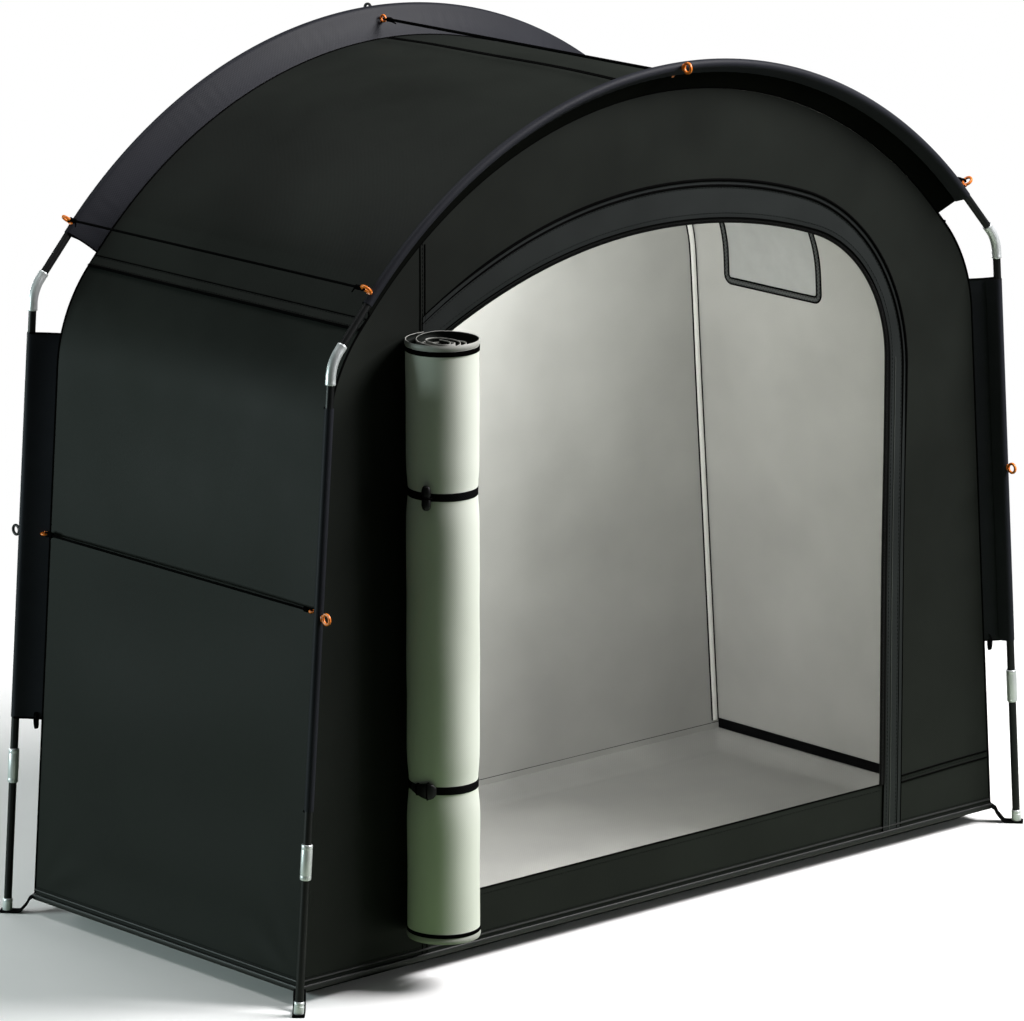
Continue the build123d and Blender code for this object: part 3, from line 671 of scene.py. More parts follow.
def patch(bottom, top, left, right):
    """Grid that fills four joined edges; bottom and top run left to right, left and right run upwards."""
    u = np.linspace(0, 1, len(bottom))[None, :, None]
    v = np.linspace(0, 1, len(left))[:, None, None]
    ruled = (1 - v) * bottom[None] + v * top[None] + (1 - u) * left[:, None] + u * right[:, None]
    low = (1 - u) * bottom[0] + u * bottom[-1]
    high = (1 - u) * top[0] + u * top[-1]
    return ruled - (1 - v) * low - v * high


def on_rear(spots, lift=0.0):
    """Points on the rear wall, hollow and softly waved, raised into the tent by lift."""
    x, z = spots[..., 0], spots[..., 1]
    mask = held(z, hem_height, 1.62, 0.2) * held(np.abs(x), -0.93, 0.93, 0.25)
    return joined(x, body_half_depth + mask * (rear_wave * ripple(x, z, 21, 0.55) - rear_hollow) - lift, z)


rear_eave = panel_line.length / 2 - (roof_radius - panel_inset) * arch_angle
rear_left = panel_line.at(steps(0, rear_eave, 0.018))
rear_right = rear_left * (-1, 1)
rear_top = panel_line.at(np.linspace(rear_eave, panel_line.length - rear_eave, rear_count))
rear_bottom = np.linspace(rear_left[0], rear_right[0], rear_count)
rear_spots = patch(rear_bottom, rear_top, rear_left, rear_right)
cloth(
    "rear_wall_cloth", on_rear(rear_spots),
    nodes=["rear_wall"], uvs=rear_spots,
)

# Front wall: one panel round the doorway
panel_edge = panel_line.spaced(0.03)
front_wave, front_reach = 0.0028, 0.14
front_ring_count = 24


def on_front(spots, lift=0.0):
    """Points on the front wall, softly waved away from its edges, raised outwards by lift."""
    x, z = spots[..., 0], spots[..., 1]
    near = np.linalg.norm(spots[..., None, :] - panel_edge, axis=-1).min(axis=-1)
    loose = smooth(np.minimum(near, z - hem_height) / front_reach)
    return joined(x, -body_half_depth - front_wave * loose * ripple(x, z, 31, 0.6) - lift, z)


def front_run(points, lift, step=0.01):
    return on_front(Line(points).spaced(step), lift)


# The doorway and the wall's outline in four matching runs: hand side, head, hinge side and sill
split_height = 1.16
half_panel = Line(half_outline(panel_inset, hem_height))
left_top = np.interp(split_height, half_panel.points[:leg_count, 1], half_panel.marks[:leg_count])
right_top = panel_line.length - left_top
door_edge = doorway(0.0, -door_half_width, sill_height)[::-1]
sill_ends = np.array([(-door_half_width, sill_height), (door_half_width, sill_height)])
front_runs = (
    (66, door_edge[:jamb_count], panel_line.at(np.linspace(panel_line.length, right_top, 60))),
    (110, door_edge[jamb_count - 1 :], panel_line.at(np.linspace(right_top, left_top, 160))),
    (70, (door_edge[-1], sill_ends[0]), panel_line.at(np.linspace(left_top, 0, 60))),
    (84, sill_ends, panel_line.points[[0, -1]]),
)
door_loop = np.concatenate([Line(edge).even(count) for count, edge, _ in front_runs])
panel_loop = np.concatenate([Line(edge).even(count) for count, _, edge in front_runs])
front_rings = closed_up(np.linspace(door_loop, panel_loop, front_ring_count))
cloth(
    "front_wall_cloth", on_front(front_rings),
    nodes=["front_skirt", "front_wall_left", "front_wall_right", "front_wall_head", "front_wall_corners"],
    uvs=front_rings,
)

# Doorway surround: a second layer round the head and the hand side, with corded edges
surround_thickness = 0.0008
surround_section = ((0.0, 0.0010), (0.03, 0.0016), (0.2, 0.0016), (0.5, 0.0017), (0.8, 0.0016), (1.0, 0.0015))
surround_rows = []
surround_uvs = []
inner_edge = doorway(0.010, hinge_x, hem_top)
outer_edge = surround_edge(-0.0005, hinge_x, hem_top)
for share, rise in surround_section:
    edge = inner_edge + share * (outer_edge - inner_edge)
    surround_rows.append(on_front(edge, rise))
    surround_uvs.append(joined(0.07 * share, Line(edge).marks))
cloth(
    "door_surround_cloth", np.stack(surround_rows),
    nodes=["door_surround"], finishes=[doubled_cloth_painted_light, silver_lining], uvs=np.stack(surround_uvs),
    thickness=surround_thickness,
)

piping = Form()


def front_bead(points, radius, lift, thin=None, finish=0):
    """Corded piping on the front wall, thinner towards the hinge seam and down the hand side where asked."""
    line = Line(points).spaced(0.012)
    if thin is not None:
        bold = smooth((line[:, 0] - hinge_x) / 0.2) * smooth((line[:, 1] - 0.75) / 0.3)
        radius = thin + (radius - thin) * bold
    piping.tube(on_front(line, lift), radius, 8, (0, -1, 0), finish=finish)


hinge_top = arch_centre + sqrt((roof_radius - 0.004) ** 2 - hinge_x**2)
front_bead(surround_edge(0.0005, hinge_x, hem_top), 0.0030, 0.0016, 0.0011)
front_bead(surround_edge(-0.0105, hinge_x, hem_top), 0.0024, 0.0018, 0.0009)
# The cord down the hand side is grey: a painted highlight, the light line of a fold catching the lamp
front_bead(doorway(0.0290, hinge_x, hem_top)[-jamb_count:], 0.0011, 0.0020, finish=1)
front_bead(doorway(0.0105, hinge_x, hem_top), 0.0013, 0.0020)
for place in (hinge_x - 0.006, hinge_x + 0.006):
    front_bead([(place, hem_top), (place, hinge_top)], 0.0011, 0.0006)
for height in (sill_height, sill_height + 0.014):
    edge_x = leg_x(height, leg_inset) - 0.004
    front_bead([(surround_half_width + 0.003, height - 0.006), (edge_x, height)], 0.0018, 0.0008)
front_bead(sill_ends, 0.0018, -0.0004)
piping.piece("front_wall_piping", [binding, grey_band_and_painted_highlight], "outer_cloth")

# Zip along the doorway: tape, narrow along the head and wide down the hand side, and coil teeth
zip_form = Form()
zip_tape_thickness = 0.0006
zip_line, zip_far = (doorway(grow, -door_half_width, sill_height) for grow in (0.0, 0.0155))
zip_share = 0.40 + 0.60 * smooth((1.30 - zip_line[:, 1]) / 0.30) * (zip_line[:, 0] > 0)
zip_width = zip_share[:, None] * (zip_far - zip_line)
zip_section = ((0.0, -0.0006), (0.0, 0.0022), (0.2, 0.0028), (0.97, 0.0028), (1.0, 0.0016))
zip_form.grid(np.stack([on_front(zip_line + share * zip_width, rise) for share, rise in zip_section]))
thicken(zip_form.piece("door_zip_tape", [zip_nylon], "zip", ["door_zip"], closed=False), zip_tape_thickness)


def repeat_tree(name, pivot):
    """Geometry nodes: small forms set along lines at a pitch, long side along the line."""
    tree = bpy.data.node_groups.new(name, "GeometryNodeTree")
    ports = {}
    tree.interface.new_socket("Lines", in_out="INPUT", socket_type="NodeSocketGeometry")
    sizes = [(port, "NodeSocketFloat") for port in ("Pitch", "Length", "Width", "Height")]
    for port, kind in sizes + [("Finish", "NodeSocketMaterial")]:
        ports[port] = tree.interface.new_socket(port, in_out="INPUT", socket_type=kind).identifier
    tree.interface.new_socket("Mesh", in_out="OUTPUT", socket_type="NodeSocketGeometry")
    given = add_node(tree, "NodeGroupInput").outputs
    curves = add_node(tree, "GeometryNodeMeshToCurve", {"Mesh": given["Lines"]})
    spaced = add_node(
        tree, "GeometryNodeResampleCurve", {"Curve": curves, "Length": given["Pitch"]}, mode="LENGTH"
    )
    bead = add_node(tree, "GeometryNodeMeshUVSphere", {"Segments": 6, "Rings": 4, "Radius": 0.5})
    size = add_node(
        tree, "ShaderNodeCombineXYZ", {"X": given["Height"], "Y": given["Width"], "Z": given["Length"]}
    )
    form = add_node(
        tree, "GeometryNodeTransform", {"Geometry": bead, "Rotation": (0, pi / 2, 0), "Scale": size}
    )
    along = add_node(tree, "GeometryNodeInputTangent")
    turn = add_node(tree, "FunctionNodeAlignEulerToVector", {"Vector": along}, axis="X", pivot_axis=pivot)
    placed = add_node(
        tree, "GeometryNodeInstanceOnPoints", {"Points": spaced, "Instance": form, "Rotation": turn}
    )
    real = add_node(tree, "GeometryNodeRealizeInstances", {"Geometry": placed})
    coated = add_node(tree, "GeometryNodeSetMaterial", {"Geometry": real, "Material": given["Finish"]})
    add_node(tree, "NodeGroupOutput", {"Mesh": coated})
    return tree, ports


def along_lines(name, lines, kind, sizes, finish):
    """Turns lines into rows of small forms, as one plain mesh."""
    tree, ports = kind
    points, edges = [], []
    for line in lines:
        first = len(points)
        points.extend(np.asarray(line).tolist())
        edges.extend((i, i + 1) for i in range(first, len(points) - 1))
    mesh = bpy.data.meshes.new(name + "_lines")
    mesh.from_pydata(points, edges, [])
    made = bpy.data.objects.new(name, mesh)
    scene.collection.objects.link(made)
    modifier = made.modifiers.new("rows", "NODES")
    modifier.node_group = tree
    for port, value in {**sizes, "Finish": finish}.items():
        modifier[ports[port]] = value
    graph = bpy.context.evaluated_depsgraph_get()
    result = bpy.data.meshes.new_from_object(made.evaluated_get(graph))
    made.modifiers.remove(modifier)
    made.data = result
    result.name = name
    result.polygons.foreach_set("use_smooth", np.ones(len(result.polygons), dtype=bool))
    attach(made, "root")


stitches = repeat_tree("stitches_along_lines", "AUTO")
teeth = repeat_tree("teeth_along_lines", "Y")
tooth = {"Pitch": 0.0036, "Length": 0.0022, "Width": 0.0016, "Height": 0.0028}
stitch = {"Pitch": 0.0085, "Length": 0.0058, "Width": 0.0011, "Height": 0.0011}
zip_runs = [front_run(doorway(grow, -door_half_width, sill_height), 0.0036) for grow in (0.0020, 0.0044)]
along_lines("door_zip_teeth", zip_runs, teeth, tooth, zip_nylon)

# Rolled door: its last turn drawn round the roll and sewn down the hinge seam, the rest bunched inside
door_width, door_thickness = 1.240, 0.0014
core_radius, bunch_radius = 0.012, 0.050
outer_turns, step_turns = 0.92, 0.22
rim, lip = 0.012, 0.002
hinge_lift = 0.0023
waist_reach, waist_pinch = 0.035, 0.050
roll_start = atan2(-body_half_depth - hinge_lift - roll_centre[1], hinge_x - roll_centre[0])
wound = 2 * pi * (outer_turns * roll_radius + step_turns * (roll_radius + bunch_radius) / 2)
bunch_turns = (door_width - wound) / (pi * (bunch_radius + core_radius))
turns = np.linspace(0, outer_turns + step_turns + bunch_turns, 280)
inside = smooth((turns - outer_turns) / step_turns)
bunched = np.clip((turns - outer_turns - step_turns) / bunch_turns, 0, 1)
coil = roll_radius + (bunch_radius - roll_radius) * inside + (core_radius - bunch_radius) * bunched
turn = 2 * pi * turns
roll_z = np.concatenate([
    np.linspace(roll_low, roll_low + rim, 7)[:-1],
    steps(roll_low + rim, roll_high - rim, 0.013)[:-1],
    np.linspace(roll_high - rim, roll_high, 7),
])
z_rows = roll_z[:, None]
waist = sum(np.exp(-(((z_rows - height) / waist_reach) ** 2)) for height in tie_heights)
past_rims = np.clip((z_rows - roll_high + rim) / rim, 0, 1) + np.clip((roll_low + rim - z_rows) / rim, 0, 1)
puff = np.sin(pi * past_rims)
loose = 0.0030 * np.sin(2 * turn + 1.1) + 0.0016 * np.sin(3 * turn + 0.4)
loose = loose + 0.0008 * ripple(turn * 0.05, z_rows, 5, 0.2)
skin = 0.0007 * ripple(turn * 0.07, z_rows, 6, 0.16) * smooth(turn / 0.8) + 0.0016 * puff
radius = (coil + inside * loose + (1 - inside) * skin) * (1 - waist_pinch * waist)
uneven = 0.004 * inside + 0.004 * (1 - np.cos(pi * bunch_turns * bunched))
roll_points = joined(
    roll_centre[0] + radius * np.cos(roll_start + turn),
    roll_centre[1] + radius * np.sin(roll_start + turn),
    z_rows - uneven * smooth((z_rows - roll_high + 0.15) / 0.15),
)
# Silver shows on the rims, and on both faces of the bunched cloth's lips
row_middle = (z_rows[1:] + z_rows[:-1]) / 2
on_rim = (row_middle > roll_high - rim) | (row_middle < roll_low + rim)
on_lip = (row_middle > roll_high - lip) | (row_middle < roll_low + lip)
roll_finish = on_rim * np.where(on_lip & (bunched[1:] > 0), 4, 2)
cloth(
    "rolled_door_cloth", roll_points,
    slot="coated_cloth", nodes=["rolled_door"],
    finishes=[door_cloth, outer_cloth, silver_lining, outer_cloth, silver_lining, silver_lining],
    uvs=joined(np.cumsum(coil) * (turn[1] - turn[0]), z_rows), inner=(*roll_centre, 0.7),
    thickness=door_thickness, finish=roll_finish,
)

# Bindings round the roll near its two ends, the ties and their toggles
upward = np.array([0, 0, 1.0])
binding_radius, tie_radius = 0.0710, 0.0672


def round_roll(height, radius):
    return loop_round((*roll_centre, height), (radius, 0, 0), (0, radius, 0), 72)


roll_trim = Form()
for height, wide in ((roll_low + rim + 0.004, 0.008), (roll_high - rim - 0.005, 0.010)):
    roll_trim.sweep(round_roll(height, binding_radius), strap_profile(wide, 0.0016), upward, closed=True)
roll_trim.piece("rolled_door_bindings", [binding], "coated_cloth")
ties = Form()
for height in tie_heights:
    ties.sweep(round_roll(height, tie_radius), strap_profile(0.016, 0.0022), upward, closed=True)
ties.piece("door_tie_straps", [webbing], "webbing", ["door_ties"])

# The upper toggle stands upright in its loop; the lower one lies along the strap, its thick end to the front
pegs = Form()
loops = Form()
low_tie, high_tie = (np.array([*roll_centre, height]) for height in tie_heights)
toggle_turn = radians(204)
radial = np.array([cos(toggle_turn), sin(toggle_turn), 0])
aside = np.cross(radial, upward)
peg_out, loop_out = 0.0758, 0.0745
upper_half = ((0.003, 0.0066), (0.006, 0.0074), (0.014, 0.0076), (0.021, 0.0062), (0.0238, 0.0040),
              (0.0245, 0.0015))
peg_shape = np.array([(-rise, wide) for rise, wide in upper_half[::-1]] + list(upper_half))
peg_line = high_tie + peg_out * radial + peg_shape[:, :1] * upward
pegs.sweep(peg_line, peg_shape[:, 1:, None] * (circle(18) * (1.25, 0.92)), radial)
upper_loop = loop_round(high_tie + loop_out * radial, 0.0084 * radial, 0.0105 * aside, 72)
loops.tube(upper_loop, 0.0015, 8, upward, closed=True)
lie_turn = np.radians(np.linspace(168, 217, 13))
lie_out = joined(np.cos(lie_turn), np.sin(lie_turn), 0)
lie_thick = np.array([4.0, 5.0, 6.0, 7.0, 8.0, 9.2, 10.4, 11.6, 12.6, 13.2, 12.6, 10.0, 4.0]) / 1000
lie_tall = np.array([14, 16, 17.5, 19.5, 21.5, 24, 26.5, 29, 31, 32.5, 32, 27, 14]) / 1000
lie_line = low_tie + (tie_radius + lie_thick / 2)[:, None] * lie_out
pegs.sweep(lie_line, np.stack([rounded_section(*size) for size in zip(lie_thick, lie_tall)]), upward)
for k in (4, 9):
    ring = rounded_section(lie_thick[k] + 0.0016, lie_tall[k] + 0.0016)
    loop = lie_line[k] + ring[:, :1] * lie_out[k] + ring[:, 1:] * upward
    loops.tube(loop, 0.0012, 6, np.cross(lie_out[k], upward), closed=True)
pegs.piece("tie_toggle_pegs", [black_plastic], "toggle", ["tie_toggles"])
loops.piece("tie_toggle_loops", [cord_braid], "webbing")

# Eave flaps: sewn along their upper edge, hemmed along the lower one
flap_section = ((-0.0135, 0.0006), (-0.0180, 0.0013), (-0.0240, 0.0019), (-0.0300, 0.0027),
                (-0.0360, 0.0035), (-0.0390, 0.0038))
flap_half, flap_stitch_half, ridge_half = 0.411, 0.408, 0.412
flap_y = steps(-flap_half, flap_half)
flap_beads_and_shade = Form()
eave_lines = []


def by_eave(hand, past, place_y, lift):
    """Points on the tunnel, a distance past an eave."""
    mark = eave_mark + past
    return on_tunnel(mark if hand < 0 else body_line.length - mark, place_y, lift)


for hand, name in ((-1, "left"), (1, "right")):
    rows = []
    for past, rise in flap_section:
        wave = 0.0009 * smooth(-(past + 0.020) / 0.018) * ripple(flap_y, 0, 41, 0.09)
        rows.append(by_eave(hand, past, flap_y, rise + wave))
    cloth(
        f"{name}_eave_flap", np.stack(rows), nodes=["eave_flaps"],
        finishes=[outer_cloth],
    )
    # The lower hem is drawn thick and black: partly a real hem, partly painted shade standing in for the
    # shadow under the flap
    flap_beads_and_shade.tube(rows[-1], 0.0031, 8, upward)
    flap_beads_and_shade.tube(rows[0] + 0.0004 * upward, 0.0012, 8, upward)
    for past, lift in ((-0.0165, 0.0015), (-0.0335, 0.0035)):
        eave_lines.append(by_eave(hand, past, steps(-flap_stitch_half, flap_stitch_half, 0.02), lift))
flap_beads_and_shade.piece("eave_flap_hems_and_shade", [binding], "outer_cloth")

# Ridge seam: a felled strip along the crown
ridge = Form()
ridge_y = steps(-ridge_half, ridge_half, 0.02)
ridge_section = ((0.0, -0.0004), (-0.008, 0.0), (-0.0075, 0.0011), (0.0075, 0.0011), (0.008, 0.0))
ridge.band([on_tunnel(crown_mark + past, ridge_y, rise) for past, rise in ridge_section])
ridge.piece("ridge_seam", [binding], "outer_cloth")
for past in (-0.0055, 0.0055):
    eave_lines.append(on_tunnel(crown_mark + past, ridge_y, 0.0014))

# Edge binding where the tunnel meets the front and rear walls
edge_form = Form()
edge_points = body_line.spaced(0.015)
for sign in (-1, 1):
    edge_form.tube(joined(edge_points[:, 0], sign * body_half_depth, edge_points[:, 1]), 0.0022)
edge_form.piece("body_edge_binding", [binding], "outer_cloth")

# Flanges: a strip from the body's edge that wraps the pole as a sleeve and is sewn back on itself
sleeve_radius = 0.0092
sleeve_thickness = 0.0011
stitch_back = 0.024
strip_hollow = 0.0022
flange_pucker = 0.0005
end_scoop = 0.002
end_hem = 0.012
hem_points = 12
stitch_lifts = (0.0016, -0.0006)


class Flange:
    """Section of a flange as (out, away) points, with shares that are 0 at the body and 1 at the pole."""

    def __init__(self, inset):
        self.pole = np.array([inset, flange_depth])
        length = hypot(*self.pole)
        self.lean = self.pole / length
        self.side = np.array([self.lean[1], -self.lean[0]])
        self.stitch = self.pole - stitch_back * self.lean
        back = atan2(-self.lean[1], -self.lean[0])
        first, last = acos(sleeve_radius / length), acos(sleeve_radius / stitch_back)
        sleeve = arc(self.pole, sleeve_radius, back + first, back + 2 * pi - last, 18)
        share = np.linspace(0, 1, 10)[:, None]
        start = 0.0012 * self.lean
        strip = start + share * (sleeve[0] - start) - strip_hollow * np.sin(pi * share) * self.side
        tail = np.linspace(sleeve[-1], self.stitch - 0.0009 * self.side, 5)
        self.points = np.concatenate([strip[:-1], sleeve, tail[1:]])
        self.shares = np.concatenate([share[:-1, 0], np.ones(len(sleeve)), np.linspace(1, 0.75, 5)[1:]])

    def puckered(self, wave):
        """The section at each place along the flange, with the strip drawn up in small waves."""
        return self.points + (flange_pucker * wave * np.sin(pi * self.shares))[..., None] * self.side

    def uvs(self, along):
        return joined(0.004 * np.arange(1, len(self.shares) + 1), along)


arch_flange = Flange(arch_inset)
leg_flange = Flange(leg_inset)
bound = Form()
tabs = Form()
flange_lines = []


def on_arch(angle, section, sign):
    """Points over the hoop's arch: angle from the crown, (out, away) from the body's edge."""
    reach = roof_radius + section[..., 0]
    away = sign * (body_half_depth + section[..., 1])
    return joined(reach * np.sin(angle), away, arch_centre + reach * np.cos(angle))


def on_leg(height, section, sign, hand):
    """Points beside a leg: height up it, (out, away) from the body's edge."""
    out, away = section[..., 0], section[..., 1]
    shoulder = leg_x(height, leg_inset) - np.interp(height, wall_z, wall_x)
    x = leg_x(height, leg_inset) + out * cos(splay) - shoulder * np.clip(1 - away / flange_depth, 0, 1)
    return joined(hand * x, sign * (body_half_depth + away), height + out * sin(splay))


hem_angle = flange_angle + end_hem / arch_radius
scoop = end_scoop * 4 * arch_flange.shares * (1 - arch_flange.shares)
along = np.linspace(-1, 1, 150)[:, None]
arch_section = arch_flange.puckered(np.sin(along * 210 + 2 * np.sin(along * 17)))
arch_stitch_angle = np.linspace(-flange_angle + 0.01, flange_angle - 0.01, 120)
leg_heights = np.linspace(leg_flange_low, leg_flange_high, 66)[:, None]
leg_section = leg_flange.puckered(np.sin(leg_heights * 150 + 2 * np.sin(leg_heights * 23)))
leg_stitch_heights = np.linspace(leg_flange_low + 0.01, leg_flange_high - 0.01, 60)
for sign, side in ((-1, "front"), (1, "rear")):
    # The arch flanges' sleeve side is a lighter copy of the cloth as painted light, and the strip's other
    # face is painted shade
    cloth(
        f"{side}_arch_flange_cloth", on_arch(along * (hem_angle - scoop / arch_radius), arch_section, sign),
        nodes=[f"{side}_arch_flange"],
        finishes=[sleeve_painted_light_cloth, sleeve_painted_shade], inner=on_arch(along[:-1], arch_flange.pole, sign),
        uvs=arch_flange.uvs(along * roof_half), thickness=sleeve_thickness,
    )
    for lift in stitch_lifts:
        flange_lines.append(on_arch(arch_stitch_angle, arch_flange.stitch + lift * arch_flange.side, sign))
    for hand in (-1, 1):
        end_angle = hand * (hem_angle - scoop[:hem_points] / arch_radius)
        tangent = (hand * cos(hem_angle), 0, -sin(hem_angle))
        bound.tube(on_arch(end_angle, arch_flange.points[:hem_points], sign), 0.0017, 8, tangent)
    for hand, name in ((-1, "left"), (1, "right")):
        cloth(
            f"{side}_{name}_leg_flange_cloth", on_leg(leg_heights, leg_section, sign, hand),
            nodes=[f"{side}_leg_flanges"], finishes=[sleeve_painted_light_cloth],
            inner=on_leg(leg_heights[:-1], leg_flange.pole, sign, hand), uvs=leg_flange.uvs(leg_heights),
            thickness=sleeve_thickness,
        )
        for lift in stitch_lifts:
            seam = leg_flange.stitch + lift * leg_flange.side
            flange_lines.append(on_leg(leg_stitch_heights, seam, sign, hand))
        for height in (leg_flange_low, leg_flange_high):
            bound.tube(on_leg(height, leg_flange.points[:hem_points], sign, hand), 0.0021, 8, upward)
        # A small folded loop of tape hangs from the lower corner
        corner = on_leg(leg_flange_low, leg_flange.points[2], sign, hand)
        tape = loop_round(corner - 0.004 * upward, (0, 0.004, 0), -0.017 * upward, 24)
        tabs.sweep(tape, strap_profile(0.008, 0.0012), (-1, 0, 0), closed=True)
bound.piece("flange_end_hems", [binding], "outer_cloth")
tabs.piece("flange_loop_tabs", [webbing], "webbing")

# Base: ground tray, hem, inner base binding and corner straps
base_half = leg_x(hem_height, leg_inset)
tray_flat, tray_thickness = (1.96, 0.89), 0.0014
tray_low, tray_edge, tray_turn = 0.0034, 0.001, 0.060


def tray_steps(half):
    """Places across the tray, closer together where its edges turn up."""
    edge = np.linspace(half - tray_turn, half - tray_edge, 6)
    return np.concatenate([-edge[::-1], steps(-half + 0.075, half - 0.075, 0.03), edge])


tray_u, tray_v = np.meshgrid(tray_steps(base_half), tray_steps(body_half_depth), indexing="ij")
from_edge = np.minimum(base_half - np.abs(tray_u), body_half_depth - np.abs(tray_v))
tray_rise = 0.032 * (1 - smooth(from_edge / 0.062)) ** 1.2
tray_wave = 0.0011 * (1 + ripple(tray_u, tray_v, 51, 0.34)) * smooth((from_edge - 0.05) / 0.1)
cloth(
    "ground_tray_cloth", joined(tray_u, tray_v, tray_low + tray_rise + tray_wave),
    slot="floor_cloth", nodes=["ground_sheet", "floor_edges"],
    finishes=[floor_cloth, outer_cloth], uvs=joined(tray_u, tray_v), inner=(0, 0, -1),
    thickness=tray_thickness,
)


def base_loop(out, height, bend=0.006):
    """Loop round the foot of the walls, a distance outside them."""
    x, y = base_half + 0.0003 + out - bend, body_half_depth + out - bend
    quarters = [
        arc((sx * x, sy * y), bend, k * pi / 2, (k + 1) * pi / 2, 6)
        for k, (sx, sy) in enumerate(((1, 1), (-1, 1), (-1, -1), (1, -1)))
    ]
    loop = Line(np.concatenate(quarters + [quarters[0][:1]]))
    marks = np.sort(np.concatenate([loop.marks[:-1], steps(0, loop.length, 0.03)[:-1]]))
    points = loop.at(marks)
    apart = np.linalg.norm(points - np.roll(points, 1, axis=0), axis=1) > 1e-5
    return joined(*points[apart].T, height)


hem = Form()
hem.sweep(base_loop(0.0031, hem_height), rounded_section(0.0060, 0.0120), upward, closed=True)
hem.tube(base_loop(0.0008, hem_height + 0.014), 0.0023, 8, upward, closed=True)
hem.piece("base_hem_piping", [piping_tape], "webbing", ["base_hem"])

skirting = Form()
skirting_z, skirting_half = 0.047, 0.410
for hand in (-1, 1):
    x = hand * (leg_x(skirting_z, leg_inset) - 0.0030)
    line = joined(x, np.linspace(-skirting_half, skirting_half, 30), skirting_z)
    skirting.sweep(line, strap_profile(0.022, 0.0016), upward)
skirting.piece("inner_base_binding", [webbing], "webbing")

straps = Form()
foot_gap = np.array([foot_x - base_half, half_spacing - body_half_depth])
strap_top = hypot(*foot_gap) - 0.0086
toward = -foot_gap / hypot(*foot_gap)
strap_path = np.array([
    (-0.014, 0.0024), (0.0, 0.0024), (0.021, 0.0024), (0.025, 0.0028), (0.028, 0.0046), (0.034, 0.0115),
    (0.041, 0.0200), (strap_top - 0.003, 0.0295), (strap_top + 0.005, 0.0350),
])
strap_x, strap_y = np.array([[foot_x], [half_spacing]]) + toward[:, None] * strap_path[:, 0]
for hand, sign in four_legs:
    aside = np.cross((hand * toward[0], sign * toward[1], 0), upward)
    line = joined(hand * strap_x, sign * strap_y, strap_path[:, 1])
    straps.sweep(line, strap_profile(0.025, 0.0046), aside)
straps.piece("corner_strap_webbing", [webbing], "webbing", ["corner_straps"])

# Seam tape round the inside of the rear wall, with corded edges
tape_form = Form()
tape_lift = 0.0016
tape_section = ((0.011, -0.0005), (0.003, 0.0), (0.0035, 0.0016), (0.007, 0.0030), (0.011, 0.0034),
                (0.015, 0.0030), (0.0185, 0.0016), (0.019, 0.0))
tape_rows = []
for inset, rise in tape_section:
    edge = whole_outline(panel_inset + inset, hem_height + 0.02)
    tape_rows.append(on_rear(edge.at(np.linspace(0, edge.length, 200)), tape_lift + rise))
tape_form.band(tape_rows)
for row in (tape_rows[1], tape_rows[-1]):
    tape_form.tube(row - (0, 0.0010, 0), 0.0016, 6, finish=1)
tape_form.piece("rear_seam_tape_strip", [seam_tape, binding], "seam_tape", ["rear_seam_tape"])


# Elbows, ferrules and feet on the poles, turned from a line and its radii
def up_leg(low, marks):
    """Points up the right leg's line, from a height."""
    return (leg_x(low, 0), low) - np.asarray(marks)[:, None] * down_leg


foot_low = 0.0032
bend_start = np.array([knee_x, knee_height]) + elbow_bend_radius * tan(elbow_turn / 2) * down_leg
bend_arc = arc(bend_start - elbow_bend_radius * off_leg, elbow_bend_radius, splay, pi / 2 - arch_angle, 16)
socket_marks = elbow_socket - np.array([0, 0.001, 0.004, 0.005, 0.010])
socket_radii = np.array([0.0097, 0.0102, 0.0102, 0.0100, 0.0099])
elbow_line = np.concatenate([
    bend_start + socket_marks[:, None] * down_leg, bend_arc, bend_arc[-1] + socket_marks[::-1, None] * up_run,
])
elbow_radii = np.concatenate([socket_radii, np.full(len(bend_arc), socket_radii[-1]), socket_radii[::-1]])
ferrule_marks = (0, 0.0006, 0.0016, 0.008, 0.0086, 0.0102, 0.0108, 0.0592, 0.0598, 0.0614, 0.062, 0.0684,
                 0.0694, 0.070)
ferrule_half = np.array([0.0098, 0.0105, 0.0109, 0.0109, 0.01074, 0.01074, 0.0109])
ferrule_radii = np.concatenate([ferrule_half, ferrule_half[::-1]])
foot_marks = (0, 0.0006, 0.002, 0.016, 0.0165, 0.019, 0.0195, 0.0235, 0.0248, 0.0252)
foot_radii = (0.0088, 0.0096, 0.0100, 0.0100, 0.0094, 0.0094, 0.0100, 0.0100, 0.0092, 0.0082)
for name, nodes, line, radii in (
    ("pole_elbow_tubes", "elbows", elbow_line, elbow_radii),
    ("pole_ferrule_tubes", "ferrules", up_leg(ferrule_low, ferrule_marks), ferrule_radii),
    ("pole_foot_caps", "feet", up_leg(foot_low, foot_marks), foot_radii),
):
    form = Form()
    for hand, sign in four_legs:
        form.tube(joined(hand * line[:, 0], sign * half_spacing, line[:, 1]), radii, 24)
    form.piece(name, [drawn_aluminium], "bright_metal", [f"front_{nodes}", f"rear_{nodes}"])

# Moulded eyes and the braided stays between them
eye_forms = {name: Form() for name in ("front_guy_eyes", "rear_guy_eyes", "eave_eyes", "stay_eyes")}
ring_count = 32


def moulded_eye(form, seat, away, axis, stand, mean, bar, foot):
    """Moulded ring on a flared shank: away points off its seat, axis runs through the ring."""
    centre = seat + away * stand
    ring = loop_round(centre, mean * away, mean * np.cross(axis, away), ring_count)
    form.sweep(ring, rounded_section(bar, bar), axis, closed=True)
    marks = np.array([0.0, 0.0006, 0.0020, 0.0032, stand - mean])
    shank = ((1.30, 1.5), (1.45, 1.5), (1.40, 1.5), (1.0, 1.0), (0.92, 1.0))
    section = np.stack([rounded_section(foot * wide, bar * thick) for wide, thick in shank])
    form.sweep(seat + marks[:, None] * away, section, axis)
    return centre


cloth_out = 0.0007
sleeve_out = sleeve_radius + cloth_out
eye_reach, eave_eye_inset = 0.0228, 0.009
